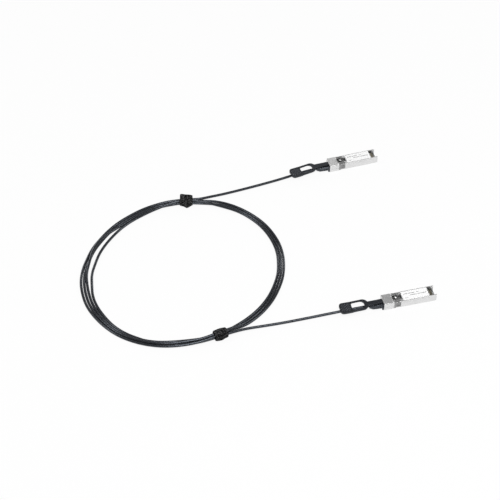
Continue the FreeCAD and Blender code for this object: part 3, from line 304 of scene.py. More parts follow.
FINISHES.update(
    tab_plastic=black_plastic(
        "tab_plastic_finish", base=0.008, roughness=0.30, grain_scale=2400.0,
        relief=0.04 * MM, edge=0.5 * MM,
    ),
    # The studs' black is five times lighter than the tab's, as painted highlight on them.
    stud_plastic=black_plastic(
        "stud_plastic_finish", base=0.040, roughness=0.30, grain_scale=2400.0,
        relief=0.02 * MM, edge=0.1 * MM,
    ),
    boot_plastic=black_plastic(
        "boot_plastic_finish", base=0.008, roughness=0.24, grain_scale=1800.0,
        relief=0.02 * MM, edge=0.4 * MM, gloss=0.9,
    ),
    cable_jacket=black_plastic(
        "cable_jacket_finish", base=0.006, roughness=0.20, grain_scale=300.0,
        relief=0.01 * MM, edge=0.1 * MM, gloss=0.8,
    ),
)
print("with the plastics:", *FINISHES)

# %% [markdown]
# ## Small pieces
#
# The board, its gold pads and chip, the wire cores, the ferrule and the
# label are small or half hidden. A graph of its own for each would be lost
# at that size, so they share one: faint clouds between the colour and a
# darker shade of it, with crisp edges.

# %% Board, pads, cores and labels
SMALL_EDGE = 0.08 * MM
SMALL_ROUGHENS = 0.1


def small_piece(name, colour, roughness, metallic=0.0, fade=0.8):
    finish = Finish(name, Metallic=metallic)
    clouds = finish.noise(scale=900.0, detail=3.0)
    darker = tuple(fade * channel for channel in colour[:3]) + (1.0,)
    finish.feed(
        Base_Color=finish.blend(clouds, darker, colour),
        Roughness=roughness + clouds * SMALL_ROUGHENS,
        Normal=finish.rounded(SMALL_EDGE),
    )
    return finish.material


COPPER = (0.78, 0.52, 0.34, 1.0)
BOARD_GREEN = (0.02, 0.045, 0.035, 1.0)
PALE_GOLD = (0.34, 0.30, 0.23, 1.0)
CORE_WHITE = (0.7, 0.72, 0.76, 1.0)
FINISHES.update(
    copper_alloy=small_piece("copper_alloy_finish", COPPER, roughness=0.3, metallic=1.0),
    circuit_board=small_piece("circuit_board_finish", BOARD_GREEN, roughness=0.35),
    gold_plate=small_piece("gold_plate_finish", PALE_GOLD, roughness=0.3, metallic=1.0),
    chip_plastic=small_piece("chip_plastic_finish", grey(0.02), roughness=0.5),
    core_plastic=small_piece("core_plastic_finish", CORE_WHITE, roughness=0.35),
    label_film=small_piece("label_film_finish", grey(0.93), roughness=0.5, fade=0.96),
    label_ink=small_piece("label_ink_finish", grey(0.24), roughness=0.6),
)
print("with the small pieces:", *FINISHES)

# %% [markdown]
# ## The straps' pile
#
# Hook-and-loop tape is dull and hairy. Real loops would be thousands of thin
# hairs on each strap, which is too much for something so small. Two noises
# stand for them: fine loops and coarser tufts. Together they set a deep relief
# and the colour: black between the loops, as painted shade, and grey on them,
# as painted highlight.

# %% Hook-and-loop tape
LOOP_SHARE = 0.45
TUFT_SHARE = 0.55
PILE_RANGE = (0.46, 0.59)
PILE_SHADE_AND_HIGHLIGHT = (0.002, 0.085)
PILE_RELIEF = 0.4 * MM
TAPE_ROUGHNESS = 0.95
PILE_SMOOTHS = 0.3
TAPE_EDGE = 0.1 * MM


def strap_finish():
    finish = Finish("strap_fabric_finish", Specular_IOR_Level=0.06)
    loops = finish.noise(scale=3200.0, detail=5.0, roughness=0.75)
    tufts = finish.noise(scale=760.0, detail=1.0)
    pile = finish.ramp(loops * LOOP_SHARE + tufts * TUFT_SHARE, *PILE_RANGE)
    # Painted shade between the loops and painted highlight on them.
    finish.feed(
        Base_Color=finish.blend(pile, grey(PILE_SHADE_AND_HIGHLIGHT[0]), grey(PILE_SHADE_AND_HIGHLIGHT[1])),
        Roughness=TAPE_ROUGHNESS - pile * PILE_SMOOTHS,
        Normal=finish.rounded(TAPE_EDGE, pile, PILE_RELIEF),
    )
    return finish.material


FINISHES["strap_fabric"] = strap_finish()
print(len(FINISHES), "finishes")

# %% [markdown]
# ## Dressing the imported nodes
#
# Each imported node takes the finish of its material slot. The gaskets and the
# latch slides are an exception: their slot is the springs' steel, but they get
# darker steels of their own, as painted shade for the shade among the gasket's
# fingers and round the slides.

# %% Finish of each node
OWN_STEEL = {"emi_gasket": "tinned_steel", "latch_slide": "dull_steel"}
slots = {row["node"]: row["material_slot"] for row in frame["record"]["subparts"]}
for name, node in frame["nodes"].items():
    piece = name[:-len("_a")]
    node.data.materials.clear()
    node.data.materials.append(FINISHES[OWN_STEEL.get(piece, slots[name])])
print("dressed", len(frame["nodes"]), "nodes")

# %% [markdown]
# ## Where everything lies
#
# A number for each thing in the frame of the whole part would be hard to
# follow, so each end has a frame of its own: X = 0 at the rear of its shell,
# +X towards the tip, Y across. Both lie on the floor, turned a little, and
# their pull tabs are swung aside. The coil is measured by angle and radius
# about its middle, and each strap by its angle on the coil.

# %% Ends, coil and straps
END_A = {"x": -31.0 * MM, "y": 104.5 * MM, "turn": 16.5, "swing": 6.0, "latch": "latch_a"}
END_B = {"x": 17.0 * MM, "y": -111.0 * MM, "turn": 14.0, "swing": -1.5, "latch": "latch_b"}
COIL_MIDDLE = Vector((-192.0 * MM, -57.0 * MM, 0.0))
UPPER_TIE = {"angle": 90.6, "radius": 104.3 * MM, "width": 9.0 * MM, "height": 5.6 * MM}
LOWER_TIE = {"angle": 292.5, "radius": 104.3 * MM, "width": 6.0 * MM, "height": 6.0 * MM}


def end_place(end):
    """Matrix from an end's own frame to the frame of the whole part."""
    turn = Matrix.Rotation(math.radians(end["turn"]), 4, "Z")
    return Matrix.Translation((end["x"], end["y"], 0.0)) @ turn


def at_end(end, x, z):
    """Point above an end's own X axis, in the frame of the whole part."""
    return end_place(end) @ Vector((x, 0.0, z))


def on_coil(angle, radius, z):
    turn = math.radians(angle)
    return COIL_MIDDLE + Vector((radius * math.cos(turn), radius * math.sin(turn), z))


def tie_place(tie, z=0.0):
    """Matrix whose X runs along the bundle and Y away from the coil's middle."""
    turn = Matrix.Rotation(math.radians(tie["angle"] - 90), 4, "Z")
    return Matrix.Translation(on_coil(tie["angle"], tie["radius"], z)) @ turn


print("shell a at", at_end(END_A, 0, 0), "shell b at", at_end(END_B, 0, 0))

# %% [markdown]
# ## Helpers for new pieces
#
# Every piece that is built here becomes an object with a finish. A mesh is
# smoothed where it is round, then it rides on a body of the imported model
# and names the slot that its finish belongs to.

# %% From mesh to piece
def add_object(name, data, finish_name):
    """Object with a finish, in the scene."""
    thing = bpy.data.objects.new(name, data)
    bpy.context.scene.collection.objects.link(thing)
    data.materials.append(FINISHES[finish_name])
    return thing


def smooth(mesh):
    """Outward normals and soft shading for a round form."""
    bmesh.ops.recalc_face_normals(mesh, faces=mesh.faces)
    for face in mesh.faces:
        face.smooth = True


def piece_from(mesh, name, finish_name, body):
    """Piece that rides on a body, from a mesh that is done."""
    data = bpy.data.meshes.new(name)
    mesh.to_mesh(data)
    mesh.free()
    thing = add_object(name, data, finish_name)
    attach(thing, body)
    return thing


# %% [markdown]
# ## The cable
#
# The cable is one piece from end to end, so it is one spline with a round
# bevel. Modelling each strand as a ring would be simpler, but the rings
# would never cross as a wound cable does. The spline's points come in three
# stretches: a lead from one end to the upper strap, the turns of the coil,
# and a lead from the lower strap to the other end. Each lead leaves its boot
# straight, comes down to the floor in a soft bow, and meets the bundle's
# outer strand.

# %% The leads' points, in mm
CABLE_DIAMETER = 3.0 * MM
LEAD_A_ROUTE = (
    (-81.0, 86.2, 2.3),
    (-107.5, 76.4, 1.5),
    (-131.5, 67.4, 1.5),
    (-151.5, 60.0, 1.9),
    (-167.0, 54.6, 2.8),
)
LEAD_B_ROUTE = (
    (-125.5, -144.6, 2.8),
    (-109.0, -140.6, 1.9),
    (-88.0, -135.9, 1.5),
    (-62.5, -129.5, 1.5),
    (-36.5, -123.2, 2.2),
)


def lead_points(route):
    return [Vector(point) * MM for point in route]


print(len(LEAD_A_ROUTE) + len(LEAD_B_ROUTE), "points on the two leads")

# %% [markdown]
# ## The bundle
#
# The turns are not a neat circle. Hands wound them, so the bundle is a
# little wider than tall, it spreads on the left, and the straps squeeze it.
# A spiral with random shifts would look loose too, but not in the right
# places. So the bundle is a short table: at each angle, the radius of its
# inner and of its outer strand.

# %% Angle, radius of the inner and of the outer strand in mm
BUNDLE = (
    (90.6, 101.3, 107.3),
    (98.0, 100.5, 107.5),
    (110.0, 98.3, 106.3),
    (127.0, 95.9, 104.1),
    (150.0, 94.7, 104.1),
    (170.0, 96.3, 106.9),
    (190.0, 100.3, 111.9),
    (210.0, 105.5, 114.9),
    (235.0, 108.8, 115.8),
    (255.0, 106.3, 113.9),
    (272.0, 101.7, 109.7),
    (285.0, 102.1, 106.7),
    (292.5, 102.8, 105.8),
    (297.0, 100.9, 102.6),
    (305.0, 98.9, 105.1),
    (322.0, 98.7, 104.9),
    (342.0, 98.9, 105.1),
    (360.0, 100.6, 106.8),
    (380.0, 103.1, 109.2),
    (400.0, 104.6, 110.7),
    (418.0, 104.8, 111.0),
    (430.0, 103.3, 111.2),
    (436.0, 102.6, 109.6),
    (442.0, 101.8, 107.2),
    (450.6, 101.3, 107.3),
)
print("bundle from", min(row[1] for row in BUNDLE), "to", max(row[2] for row in BUNDLE), "mm")

# %% [markdown]
# Each turn is followed through a few stations of its own: how far out it
# lies between the inner strand, at 0, and the outer strand, at 1, and on
# which layer. Where two turns change places, one of them is lifted towards
# the next layer. The lift is kept low, so that the bundle stays flat, and it
# is not enough everywhere: at some crossings the strands run into each
# other. On the left the last turn runs by itself inside the others.

# %% Angle, share of the bundle's width, and layer
TURNS = (
    ((90.6, 1.0, 0.0), (240, 1.0, 0.0), (268, 1.0, 0.5), (292.5, 1.0, 1.0),
     (306, 1.0, 0.3), (322, 1.0, 0.0), (437, 1.0, 0.0), (450.6, 0.5, 0.0)),
    ((90.6, 0.5, 0.0), (115, 0.62, 0.0), (150, 0.68, 0.0), (188, 0.72, 0.0), (204, 0.66, 0.0),
     (240, 0.64, 0.3), (260, 0.60, 0.7), (278, 0.40, 0.7), (292.5, 0.0, 1.0), (308, 0.5, 0.0),
     (425, 0.5, 0.0), (450.6, 0.0, 0.0)),
    ((90.6, 0.0, 0.0), (110, 0.34, 0.0), (136, 0.36, 0.0), (158, 0.84, 0.9), (177, 0.6, 0.4),
     (188, 0.46, 0.0), (202, 0.33, 0.0), (240, 0.32, 0.0), (268, 0.1, 0.0), (292.5, 0.0, 0.0),
     (322, 0.0, 0.0), (425, 0.05, 0.3), (450.6, 0.4, 1.0)),
    ((90.6, 0.4, 1.0), (104, 0.1, 0.8), (116, 0.0, 0.1), (140, 0.0, 0.0), (215, 0.0, 0.0),
     (240, 0.1, 0.0), (262, 0.6, 0.0), (278, 0.72, 0.0), (292.5, 1.0, 0.0)),
)


def between(stations, angle):
    """Values at an angle, eased from one station to the next."""
    for start, end in zip(stations, stations[1:]):
        if angle <= end[0]:
            share = (angle - start[0]) / (end[0] - start[0])
            ease = (1 - math.cos(math.pi * share)) / 2
            return [a + (b - a) * ease for a, b in zip(start[1:], end[1:])]
    return list(stations[-1][1:])


print(len(TURNS), "turns, the last one up to", TURNS[-1][-1][0], "degrees")

# %% [markdown]
# The spline's points stand a few degrees apart along the turns. They are
# control points, and a smooth spline passes inside them. It goes through
# three quarters of a point and an eighth of each neighbour, so every point
# is moved out by the share that it would lose. Under the bundle each strap
# has its own thickness, and that holds the strands off the floor there.

# %% Points of the coil
STRAP_THICKNESS = 1.9 * MM
LAYER = 2.6 * MM
STEP = 9.0
TIE_REACH = 13.0
OWN_SHARE = 0.75
NEIGHBOURS_SHARE = 0.25
FULL_TURN = 360
TIE_ANGLES = (UPPER_TIE["angle"], LOWER_TIE["angle"], UPPER_TIE["angle"] + FULL_TURN)


def lifted(angle):
    """How far the straps under the bundle hold it off the floor."""
    nearest = min(abs(angle - tie_angle) for tie_angle in TIE_ANGLES)
    share = min(nearest / TIE_REACH, 1.0)
    return STRAP_THICKNESS * (1 + math.cos(math.pi * share)) / 2


def turn_point(number, angle):
    """Control point of one turn at an angle."""
    inner, outer = between(BUNDLE, angle)
    share, layer = between(TURNS[number], angle)
    kept = OWN_SHARE + NEIGHBOURS_SHARE * math.cos(math.radians(STEP))
    radius = (inner + share * (outer - inner)) * MM / kept
    return on_coil(angle, radius, CABLE_DIAMETER / 2 + lifted(angle) + layer * LAYER)


def coil_points():
    first = UPPER_TIE["angle"]
    last = LOWER_TIE["angle"] + FULL_TURN * (len(TURNS) - 1)
    count = round((last - first) / STEP)
    points = []
    for index in range(1, count):
        angle = first + (last - first) * index / count
        number = int((angle - first) // FULL_TURN)
        points.append(turn_point(number, angle - FULL_TURN * number))
    return points


print(len(coil_points()), "points on the coil")

# %% [markdown]
# At both ends of the coil the cable comes out of its strap beside the other
# strands and straight for a few millimetres. At the far ends of the leads it
# goes through the boot into the shell, so its cut ends are never seen.

# %% The whole route
STRAP_WIDTH = 14.0 * MM
STRAP_PLAY = 0.5 * MM
TIE_FACE = STRAP_WIDTH / 2 + STRAP_PLAY
LEAD_STRAIGHT = 7.0 * MM
CABLE_HEIGHT = 3.7 * MM
CABLE_SEAT = 8.8 * MM
BOOT_RUN = 26.0 * MM
ON_STRAP = STRAP_THICKNESS + CABLE_DIAMETER / 2


def beside_tie(tie, along):
    """Point on the bundle's outer strand, at a distance along from the tie."""
    outward = (tie["width"] - CABLE_DIAMETER) / 2
    return tie_place(tie) @ Vector((along, outward, ON_STRAP))


cable_route = [
    at_end(END_A, CABLE_SEAT, CABLE_HEIGHT),
    at_end(END_A, -BOOT_RUN, CABLE_HEIGHT),
    *lead_points(LEAD_A_ROUTE),
    beside_tie(UPPER_TIE, TIE_FACE + LEAD_STRAIGHT),
    beside_tie(UPPER_TIE, TIE_FACE),
    *coil_points(),
    beside_tie(LOWER_TIE, -TIE_FACE),
    beside_tie(LOWER_TIE, -TIE_FACE - LEAD_STRAIGHT),
    *lead_points(LEAD_B_ROUTE),
    at_end(END_B, -BOOT_RUN, CABLE_HEIGHT),
    at_end(END_B, CABLE_SEAT, CABLE_HEIGHT),
]
print(len(cable_route), "points along the cable")

# %% [markdown]
# A NURBS spline of order 3 gives a smooth line with no kinks at its points.
# The order is set after the points are added, because a spline with too few
# points falls back to straight runs. The cable stands for the two leads and
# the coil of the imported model.

# %% The cable's spline
STEPS_AROUND = 5
STEPS_ALONG = 5


def cable():
    curve = bpy.data.curves.new("cable", "CURVE")
    curve.dimensions = "3D"
    curve.bevel_depth = CABLE_DIAMETER / 2
    curve.bevel_resolution = STEPS_AROUND
    curve.resolution_u = STEPS_ALONG
    curve.use_fill_caps = True
    spline = curve.splines.new("NURBS")
    spline.points.add(len(cable_route) - 1)
    for point, spot in zip(spline.points, cable_route):
        point.co = (*spot, 1.0)
    spline.order_u = 3
    spline.use_endpoint_u = True
    return add_object("cable", curve, "cable_jacket")


cable_piece = cable()
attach(cable_piece, "root")
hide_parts("cable_lead_a", "cable_coil", "cable_lead_b")
print("cable laid,", CABLE_DIAMETER / MM, "mm thick")

# %% [markdown]
# ## The straps
#
# Each strap is a strip of hook-and-loop tape, wound twice round the bundle
# and pressed on itself. A plain ring would hide that, and a cloth simulation
# could drag the tape through the strands, so the strip is built in its wound
# shape. It follows a spiral round a rounded rectangle: each turn lies on the
# one below, a little off to one side, and the middle of the tape swells
# because the strands under it give way. The rectangle is simpler than the
# bundle, so the tape stands open where a corner of it has no strand.

# %% The tape's path round the bundle
TAPE = 0.56 * MM
TAPE_TURNS = 2.2
TAPE_PLAY = 0.12 * MM
OVAL_POWER = 0.5


def round_bundle(tie, turn, side, grow):
    """Point round a bundle, on an oval that is nearly a rectangle."""
    cosine, sine = math.cos(turn), math.sin(turn)
    lean = tie["lean"] * side if cosine > 0 else 0.0
    across = (tie["width"] / 2 + grow - lean) * math.copysign(abs(cosine) ** OVAL_POWER, cosine)
    upward = (tie["height"] / 2 + grow) * math.copysign(abs(sine) ** OVAL_POWER, sine)
    return Vector((0.0, across, upward))


print("tape of", TAPE / MM, "mm, wound", TAPE_TURNS, "times")

# %% [markdown]
# Tape that was used before is never quite flat. Its turns drift along the
# bundle, slow lumps run through it, its long edges are thin and rounded, and
# the last bit of it lifts off, curled most near the middle of its width.

# %% A point on the tape
TAPE_SWELL = 0.5 * MM
TAPE_DRIFT = 0.9 * MM
DRIFT_SPEED = 2.6
DRIFT_START = 0.5
TAPE_LUMPS = 0.6 * MM
LUMP_SCALE = 210.0
RIM_POWER = 8
TAIL_SHARE = 0.12
TAIL_CURL = 1.5
TAIL_MIDDLE = 0.2
TAIL_SPREAD = 0.55


def tail_lift(share, side, tail):
    """How far the loose end of the tape stands off."""
    loose = max(0.0, (share - 1 + TAIL_SHARE) / TAIL_SHARE)
    return tail * loose ** TAIL_CURL * math.exp(-((side - TAIL_MIDDLE) / TAIL_SPREAD) ** 2)


def tape_point(tie, share, side, face, tail):
    """Point on the tape: share along it, side across it, and which face."""
    turn = 2 * math.pi * (TAPE_TURNS * share - TAPE_TURNS) + tie["tape_end"]
    grow = TAPE_PLAY + TAPE * (TAPE_TURNS * share + 0.5)
    swell = TAPE_SWELL * share * (1 - side ** 2)
    rim = math.sqrt(max(0.0, 1 - side ** RIM_POWER))
    off = grow + swell + tail_lift(share, side, tail) + face * rim * TAPE / 2
    point = round_bundle(tie, turn, side, off)
    drift = TAPE_DRIFT * (math.sin(DRIFT_SPEED * share) - DRIFT_START)
    point.x = side * STRAP_WIDTH / 2 + drift
    lump = noise.noise(point * LUMP_SCALE + Vector((tie["angle"], 0.0, 0.0)))
    point.y *= 1 + lump * TAPE_LUMPS / tie["width"]
    point.z *= 1 + lump * TAPE_LUMPS / tie["height"]
    return point


print("the loose end is", TAIL_SHARE, "of the tape")

# %% [markdown]
# The strip is a tube of flat rings. Each ring goes across the outer face and
# back across the inner one, and a face on each end closes it. Where the tape
# lies under the bundle, it rests on the floor.

# %% The strip as a closed mesh
TAPE_STEPS = 160
TAPE_COLUMNS = 18
FLOOR_GAP = 0.02 * MM


def tape_ring(mesh, place, tie, share, tail):
    """Corners round the tape's section, at a share along it."""
    ring = []
    for face, columns in ((1, range(TAPE_COLUMNS + 1)), (-1, range(TAPE_COLUMNS, -1, -1))):
        for column in columns:
            side = 2 * column / TAPE_COLUMNS - 1
            point = place @ tape_point(tie, share, side, face, tail)
            point.z = max(point.z, FLOOR_GAP)
            ring.append(mesh.verts.new(point))
    return ring


def strap(name, node, tie, tail):
    """The wound strip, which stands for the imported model's strap."""
    place = tie_place(tie, STRAP_THICKNESS + tie["height"] / 2)
    mesh = bmesh.new()
    shares = [step / TAPE_STEPS for step in range(TAPE_STEPS + 1)]
    rings = [tape_ring(mesh, place, tie, share, tail) for share in shares]
    for ring, following in zip(rings, rings[1:]):
        for index in range(len(ring)):
            after = (index + 1) % len(ring)
            mesh.faces.new((ring[index], ring[after], following[after], following[index]))
    for ring in (rings[0], rings[-1]):
        mesh.faces.new(ring)
    smooth(mesh)
    thing = piece_from(mesh, name, "strap_fabric", "root")
    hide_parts(node)
    return thing


print("each strap gets", TAPE_STEPS + 1, "rings")

# %% [markdown]
# The two straps end at different places round the bundle. The upper one
# ends on the inside of the coil and has come loose there, and one side of
# it is pulled tighter. The lower one ends on the outside and lies flat.

# %% Both straps
UPPER_TIE.update(tape_end=math.radians(190), lean=1.2 * MM)
LOWER_TIE.update(tape_end=math.radians(15), lean=-0.3 * MM)
strap_upper = strap("strap_upper", "cable_tie_upper", UPPER_TIE, tail=2.4 * MM)
strap_lower = strap("strap_lower", "cable_tie_lower", LOWER_TIE, tail=0.8 * MM)
print("straps have", len(strap_upper.data.polygons), "faces each")

# %% [markdown]
# ## The cable's facts
#
# The whole cable can be seen, so its length is what the coil and the leads
# show. It leaves one shell and goes back into the other, and both straps are
# wound on it.

# %% [markdown]
# ## Grips
#
# A finger and a thumb pinch the end of each pull tab, so both faces of it
# carry rows of small raised studs, set in a recess. A bump in the finish
# would vanish from the side, so each stud is a low dome of real faces. All
# studs of a tab are one piece, which belongs to the tab and moves with it.

# %% A stud
STUD_RADIUS = 0.85 * MM
STUD_HEIGHT = 0.40 * MM
STUD_CORNERS = 10
STUD_FOOT = (1.0, -0.1)
STUD_SHOULDER = (0.72, 0.7)


def stud(mesh, place, middle, side):
    """Low dome: a foot and a shoulder, as shares of radius and height, and a top."""
    rings = []
    for reach, rise in (STUD_FOOT, STUD_SHOULDER):
        ring = []
        for corner in range(STUD_CORNERS):
            turn = 2 * math.pi * corner / STUD_CORNERS
            offset = Vector((math.cos(turn), math.sin(turn), 0.0)) * STUD_RADIUS * reach
            offset.z = side * rise * STUD_HEIGHT
            ring.append(mesh.verts.new(place @ (middle + offset)))
        rings.append(ring)
    top = mesh.verts.new(place @ (middle + Vector((0.0, 0.0, side * STUD_HEIGHT))))
    outer, inner = rings
    mesh.faces.new(outer)
    for index in range(STUD_CORNERS):
        after = (index + 1) % STUD_CORNERS
        mesh.faces.new((outer[index], outer[after], inner[after], inner[index]))
        mesh.faces.new((inner[index], inner[after], top))


print("a stud is", 2 * STUD_RADIUS / MM, "mm wide and", STUD_HEIGHT / MM, "mm high")

# %% [markdown]
# The rows are staggered, so that each stud sits between two of the next row.
# A stud that would come too near the recess's side or its rounded corners
# is left out.

# %% Where the studs stand
PANEL_START, PANEL_END = -30.4 * MM, -19.9 * MM
PANEL_HALF_WIDTH = 5.9 * MM
PANEL_MARGIN = 0.1 * MM
CORNER_START = PANEL_START + 2.6 * MM
CORNER_SIDE = 3.3 * MM
CORNER_RADIUS = 2.0 * MM
STUD_PITCH = 2.9 * MM


def stud_spots():
    """Places of the studs on one face, in the tab's own X and Y."""
    rows = int((PANEL_END - PANEL_START - 2 * STUD_RADIUS) / (STUD_PITCH / 2))
    reach = int(PANEL_HALF_WIDTH / STUD_PITCH)
    spots = []
    for row in range(rows + 1):
        x = PANEL_START + STUD_RADIUS + PANEL_MARGIN + row * STUD_PITCH / 2
        shift = 0.5 * (row % 2)
        for column in range(-reach - 1, reach + 1):
            y = (column + shift) * STUD_PITCH
            corner = math.hypot(min(0.0, x - CORNER_START), max(0.0, abs(y) - CORNER_SIDE))
            if abs(y) <= PANEL_HALF_WIDTH - STUD_RADIUS and corner <= CORNER_RADIUS:
                spots.append((x, y))
    return spots


print(len(stud_spots()), "studs on each face of a grip")

# %% Studs on both tabs
NECK_LENGTH = 14.8 * MM
PANEL_FACES = ((7.15 * MM, 1), (5.25 * MM, -1))


def grip_studs(name, end):
    """All studs of a tab, on its upper and its lower face."""
    swing = Matrix.Rotation(math.radians(end["swing"]), 4, "Z")
    place = end_place(end) @ Matrix.Translation((-NECK_LENGTH, 0.0, 0.0)) @ swing
    mesh = bmesh.new()
    for x, y in stud_spots():
        for z, side in PANEL_FACES:
            stud(mesh, place, Vector((x, y, z)), side)
    smooth(mesh)
    # The studs take the lighter black, which is painted highlight.
    return piece_from(mesh, name, "stud_plastic", end["latch"])


for name, end in (("grip_studs_a", END_A), ("grip_studs_b", END_B)):
    print(name, len(grip_studs(name, end).data.polygons), "faces")

# %% [markdown]
# ## Labels
#
# A white label lies in its seat on each shell. It carries a few plain grey
# fields. They could be part of the label's finish, but then their places
# would have to be worked out in nodes, so they are thin boxes, as ink is a
# thin layer. A field is given by shares of the label's length and width.

# %% Fields on the labels
LABEL_START, LABEL_END = 21.6 * MM, 50.0 * MM
LABEL_HALF_WIDTH = 6.1 * MM
LABEL_TOP = 8.85 * MM
INK = 0.015 * MM
FIELDS = (
    (0.06, 0.24, 0.34, 0.46),
    (0.27, 0.50, 0.34, 0.46),
    (0.58, 0.66, 0.34, 0.46),
    (0.30, 0.56, -0.10, 0.02),
    (0.60, 0.94, -0.10, 0.02),
    (0.08, 0.20, -0.58, -0.48),
)


def label_fields(name, end):
    mesh = bmesh.new()
    length = LABEL_END - LABEL_START
    for start, stop, near, far in FIELDS:
        x = LABEL_START + (start + stop) / 2 * length
        y = (near + far) / 2 * LABEL_HALF_WIDTH
        size = Vector(((stop - start) * length, (far - near) * LABEL_HALF_WIDTH, 2 * INK))
        place = end_place(end) @ Matrix.LocRotScale(Vector((x, y, LABEL_TOP)), None, size)
        bmesh.ops.create_cube(mesh, size=1.0, matrix=place)
    return piece_from(mesh, name, "label_ink", "root")


for name, end in (("label_fields_a", END_A), ("label_fields_b", END_B)):
    print(name, len(label_fields(name, end).data.polygons), "faces")

# %% [markdown]
# ## Springs
#
# A pull on a tab draws its latch slide back against a coil spring, which
# has to shorten by the slide's travel. A rigid node can't do that, and a
# chain of small bodies would be heavy for something so small. So a copy of
# its mesh takes its place, and the share of its length that it keeps at the
# full pull is worked out.

# %% Springs and how much of their length they keep at the full pull
SPRING_START, SPRING_END = 2.4 * MM, 8.8 * MM
LATCH_TRAVEL = 2.8 * MM


def live_spring(letter):
    node = frame["nodes"][f"return_spring_{letter}"]
    spring = add_object(f"live_spring_{letter}", node.data.copy(), "spring_steel")
    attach(spring, "root")
    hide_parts(node.name)
    keep = 1 - LATCH_TRAVEL / (SPRING_END - SPRING_START)
    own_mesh(spring)
    return keep


for letter, end in (("a", END_A), ("b", END_B)):
    print("spring", letter, "keeps", round(live_spring(letter), 3), "of its length")

# %% [markdown]
# ## Floor
#
# The cable lies on plain white paper. More light would make the paper white,
# but it would also burn out the metal. So the paper is lit like the rest and
# bounces light up at the metal, while the camera and mirror rays see it
# mostly as even white. Only a breath of the shadows is left. It lies a hair
# under the pieces, so that no faces share one plane.

# %% Paper on the floor
FLOOR_SIZE = 8.0
FLOOR_DROP = 0.05 * MM
PAPER_WHITE = 0.86
PAPER_ROUGHNESS = 0.9
EVEN_SHARE = 0.9


def floor_finish():
    finish = Finish(
        "floor_finish",
        Base_Color=grey(PAPER_WHITE),
        Roughness=PAPER_ROUGHNESS,
        Specular_IOR_Level=0.0,
    )
    seen = finish.node("LightPath", {}, {}, "Is Camera Ray")
    mirrored = finish.node("LightPath", {}, {}, "Is Glossy Ray")
    white = finish.node("Emission", {}, {"Color": grey(1.0), "Strength": 1.0})
    paper = Signal(finish, finish.shader.outputs["BSDF"])
    even = (seen + mirrored) * EVEN_SHARE
    mixed = finish.node("MixShader", {}, {0: even, 1: paper, 2: white})
    finish.fill(finish.tree.nodes["Material Output"].inputs["Surface"], mixed)
    return finish.material


FINISHES["floor"] = floor_finish()
floor_mesh = bpy.data.meshes.new("floor")
edge = FLOOR_SIZE / 2
corners = [(-edge, -edge, 0), (edge, -edge, 0), (edge, edge, 0), (-edge, edge, 0)]
floor_mesh.from_pydata(corners, [], [(0, 1, 2, 3)])
floor = add_object("floor", floor_mesh, "floor")
floor.location.z = -FLOOR_DROP
print("floor of", FLOOR_SIZE, "m laid")

# %% [markdown]
# ## Light
#
# Small bright metal pieces are lit as a product is: from several sides by
# soft round boxes, so that every face mirrors something and none mirrors a
# lamp straight into the camera. One large box does most of the work, two at
# the sides and two low ones behind draw the edges, and a weak one behind
# opens the shadows.

# %% Six lamps
LIT_SPOT = Vector((-0.1, 0.0, 0.0))
LAMPS = (
    ("key", (0.1, -0.9, 1.7), 1.0, 21.0),
    ("left", (-1.5, -0.1, 1.3), 0.6, 7.0),
    ("right", (1.3, -0.1, 1.3), 0.6, 7.0),
    ("back_left", (-1.4, 1.5, 0.6), 0.6, 5.0),
    ("back_right", (1.2, 1.5, 0.6), 0.6, 5.0),
    ("back", (0.0, 1.6, 1.1), 0.5, 0.9),
)


def lamp(name, position, size, watts):
    """Round soft box that faces the middle of the cable."""
    data = bpy.data.lights.new(name, "AREA")
    data.shape = "DISK"
    data.size = size
    data.energy = watts
    thing = bpy.data.objects.new(name, data)
    bpy.context.scene.collection.objects.link(thing)
    thing.location = position
    aim = LIT_SPOT - Vector(position)
    thing.rotation_euler = aim.to_track_quat("-Z", "Y").to_euler()


for row in LAMPS:
    lamp(*row)
print(len(LAMPS), "lamps,", sum(row[-1] for row in LAMPS), "W")

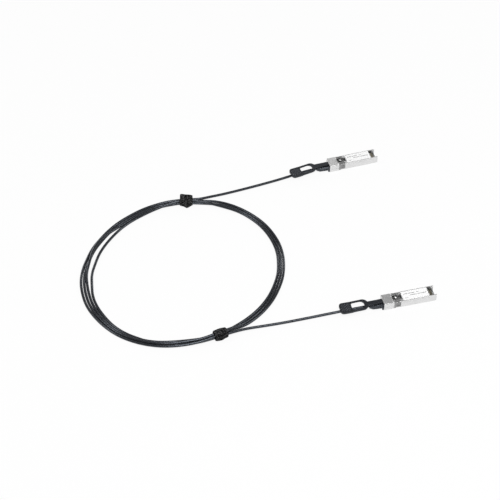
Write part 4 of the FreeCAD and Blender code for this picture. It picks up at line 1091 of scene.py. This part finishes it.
# %% [markdown]
# The world fills in from all sides, as a dim room does. The camera would see
# that dimness as a grey horizon in low views, so to its own rays the world
# is white.

# %% The room
ROOM_LEVEL = 0.26


def room_light(strength):
    """World that lights as a dim room, and looks white to the camera."""
    world = bpy.data.worlds.new("room")
    bpy.context.scene.world = world
    world.use_nodes = True
    graph = Graph(world.node_tree)
    dim = graph.tree.nodes["Background"]
    graph.fill(dim.inputs["Color"], grey(1.0))
    graph.fill(dim.inputs["Strength"], strength)
    white = graph.node("Background", {}, {"Color": grey(1.0), "Strength": 1.0})
    seen = graph.node("LightPath", {}, {}, "Is Camera Ray")
    room = Signal(graph, dim.outputs["Background"])
    mixed = graph.node("MixShader", {}, {0: seen, 1: room, 2: white})
    graph.fill(graph.tree.nodes["World Output"].inputs["Surface"], mixed)


room_light(ROOM_LEVEL)
print("room at", ROOM_LEVEL)

# %% [markdown]
# ## Camera
#
# The camera looks down on the floor at 45 degrees through a long lens, so
# the circle of the coil shows as an ellipse and both ends keep their size.
# A short lens from near would make the nearer end larger. The roll is the
# slight tilt of a camera that is held by hand.

# %% A long lens from above
CAMERA_TARGET = Vector((-121.5 * MM, -27.3 * MM, 0.0))
CAMERA_PLACE = Vector((-121.5 * MM, -1180.2 * MM, 1161.8 * MM))
CAMERA_ROLL = math.radians(-0.3255)
LENS_MM = 108.0
SENSOR_MM = 36.0
SEES_AS_FAR_AS = 20.0

lens = bpy.data.cameras.new("camera")
lens.sensor_width = SENSOR_MM
lens.lens = LENS_MM
lens.clip_end = SEES_AS_FAR_AS
camera = bpy.data.objects.new("camera", lens)
bpy.context.scene.collection.objects.link(camera)
camera.rotation_mode = "QUATERNION"
camera.location = CAMERA_PLACE
level = (CAMERA_TARGET - CAMERA_PLACE).to_track_quat("-Z", "Y")
camera.rotation_quaternion = level @ Quaternion((0, 0, 1), CAMERA_ROLL)
bpy.context.scene.camera = camera
bpy.context.scene.view_settings.view_transform = "Standard"
print("camera at", [round(v, 3) for v in CAMERA_PLACE])
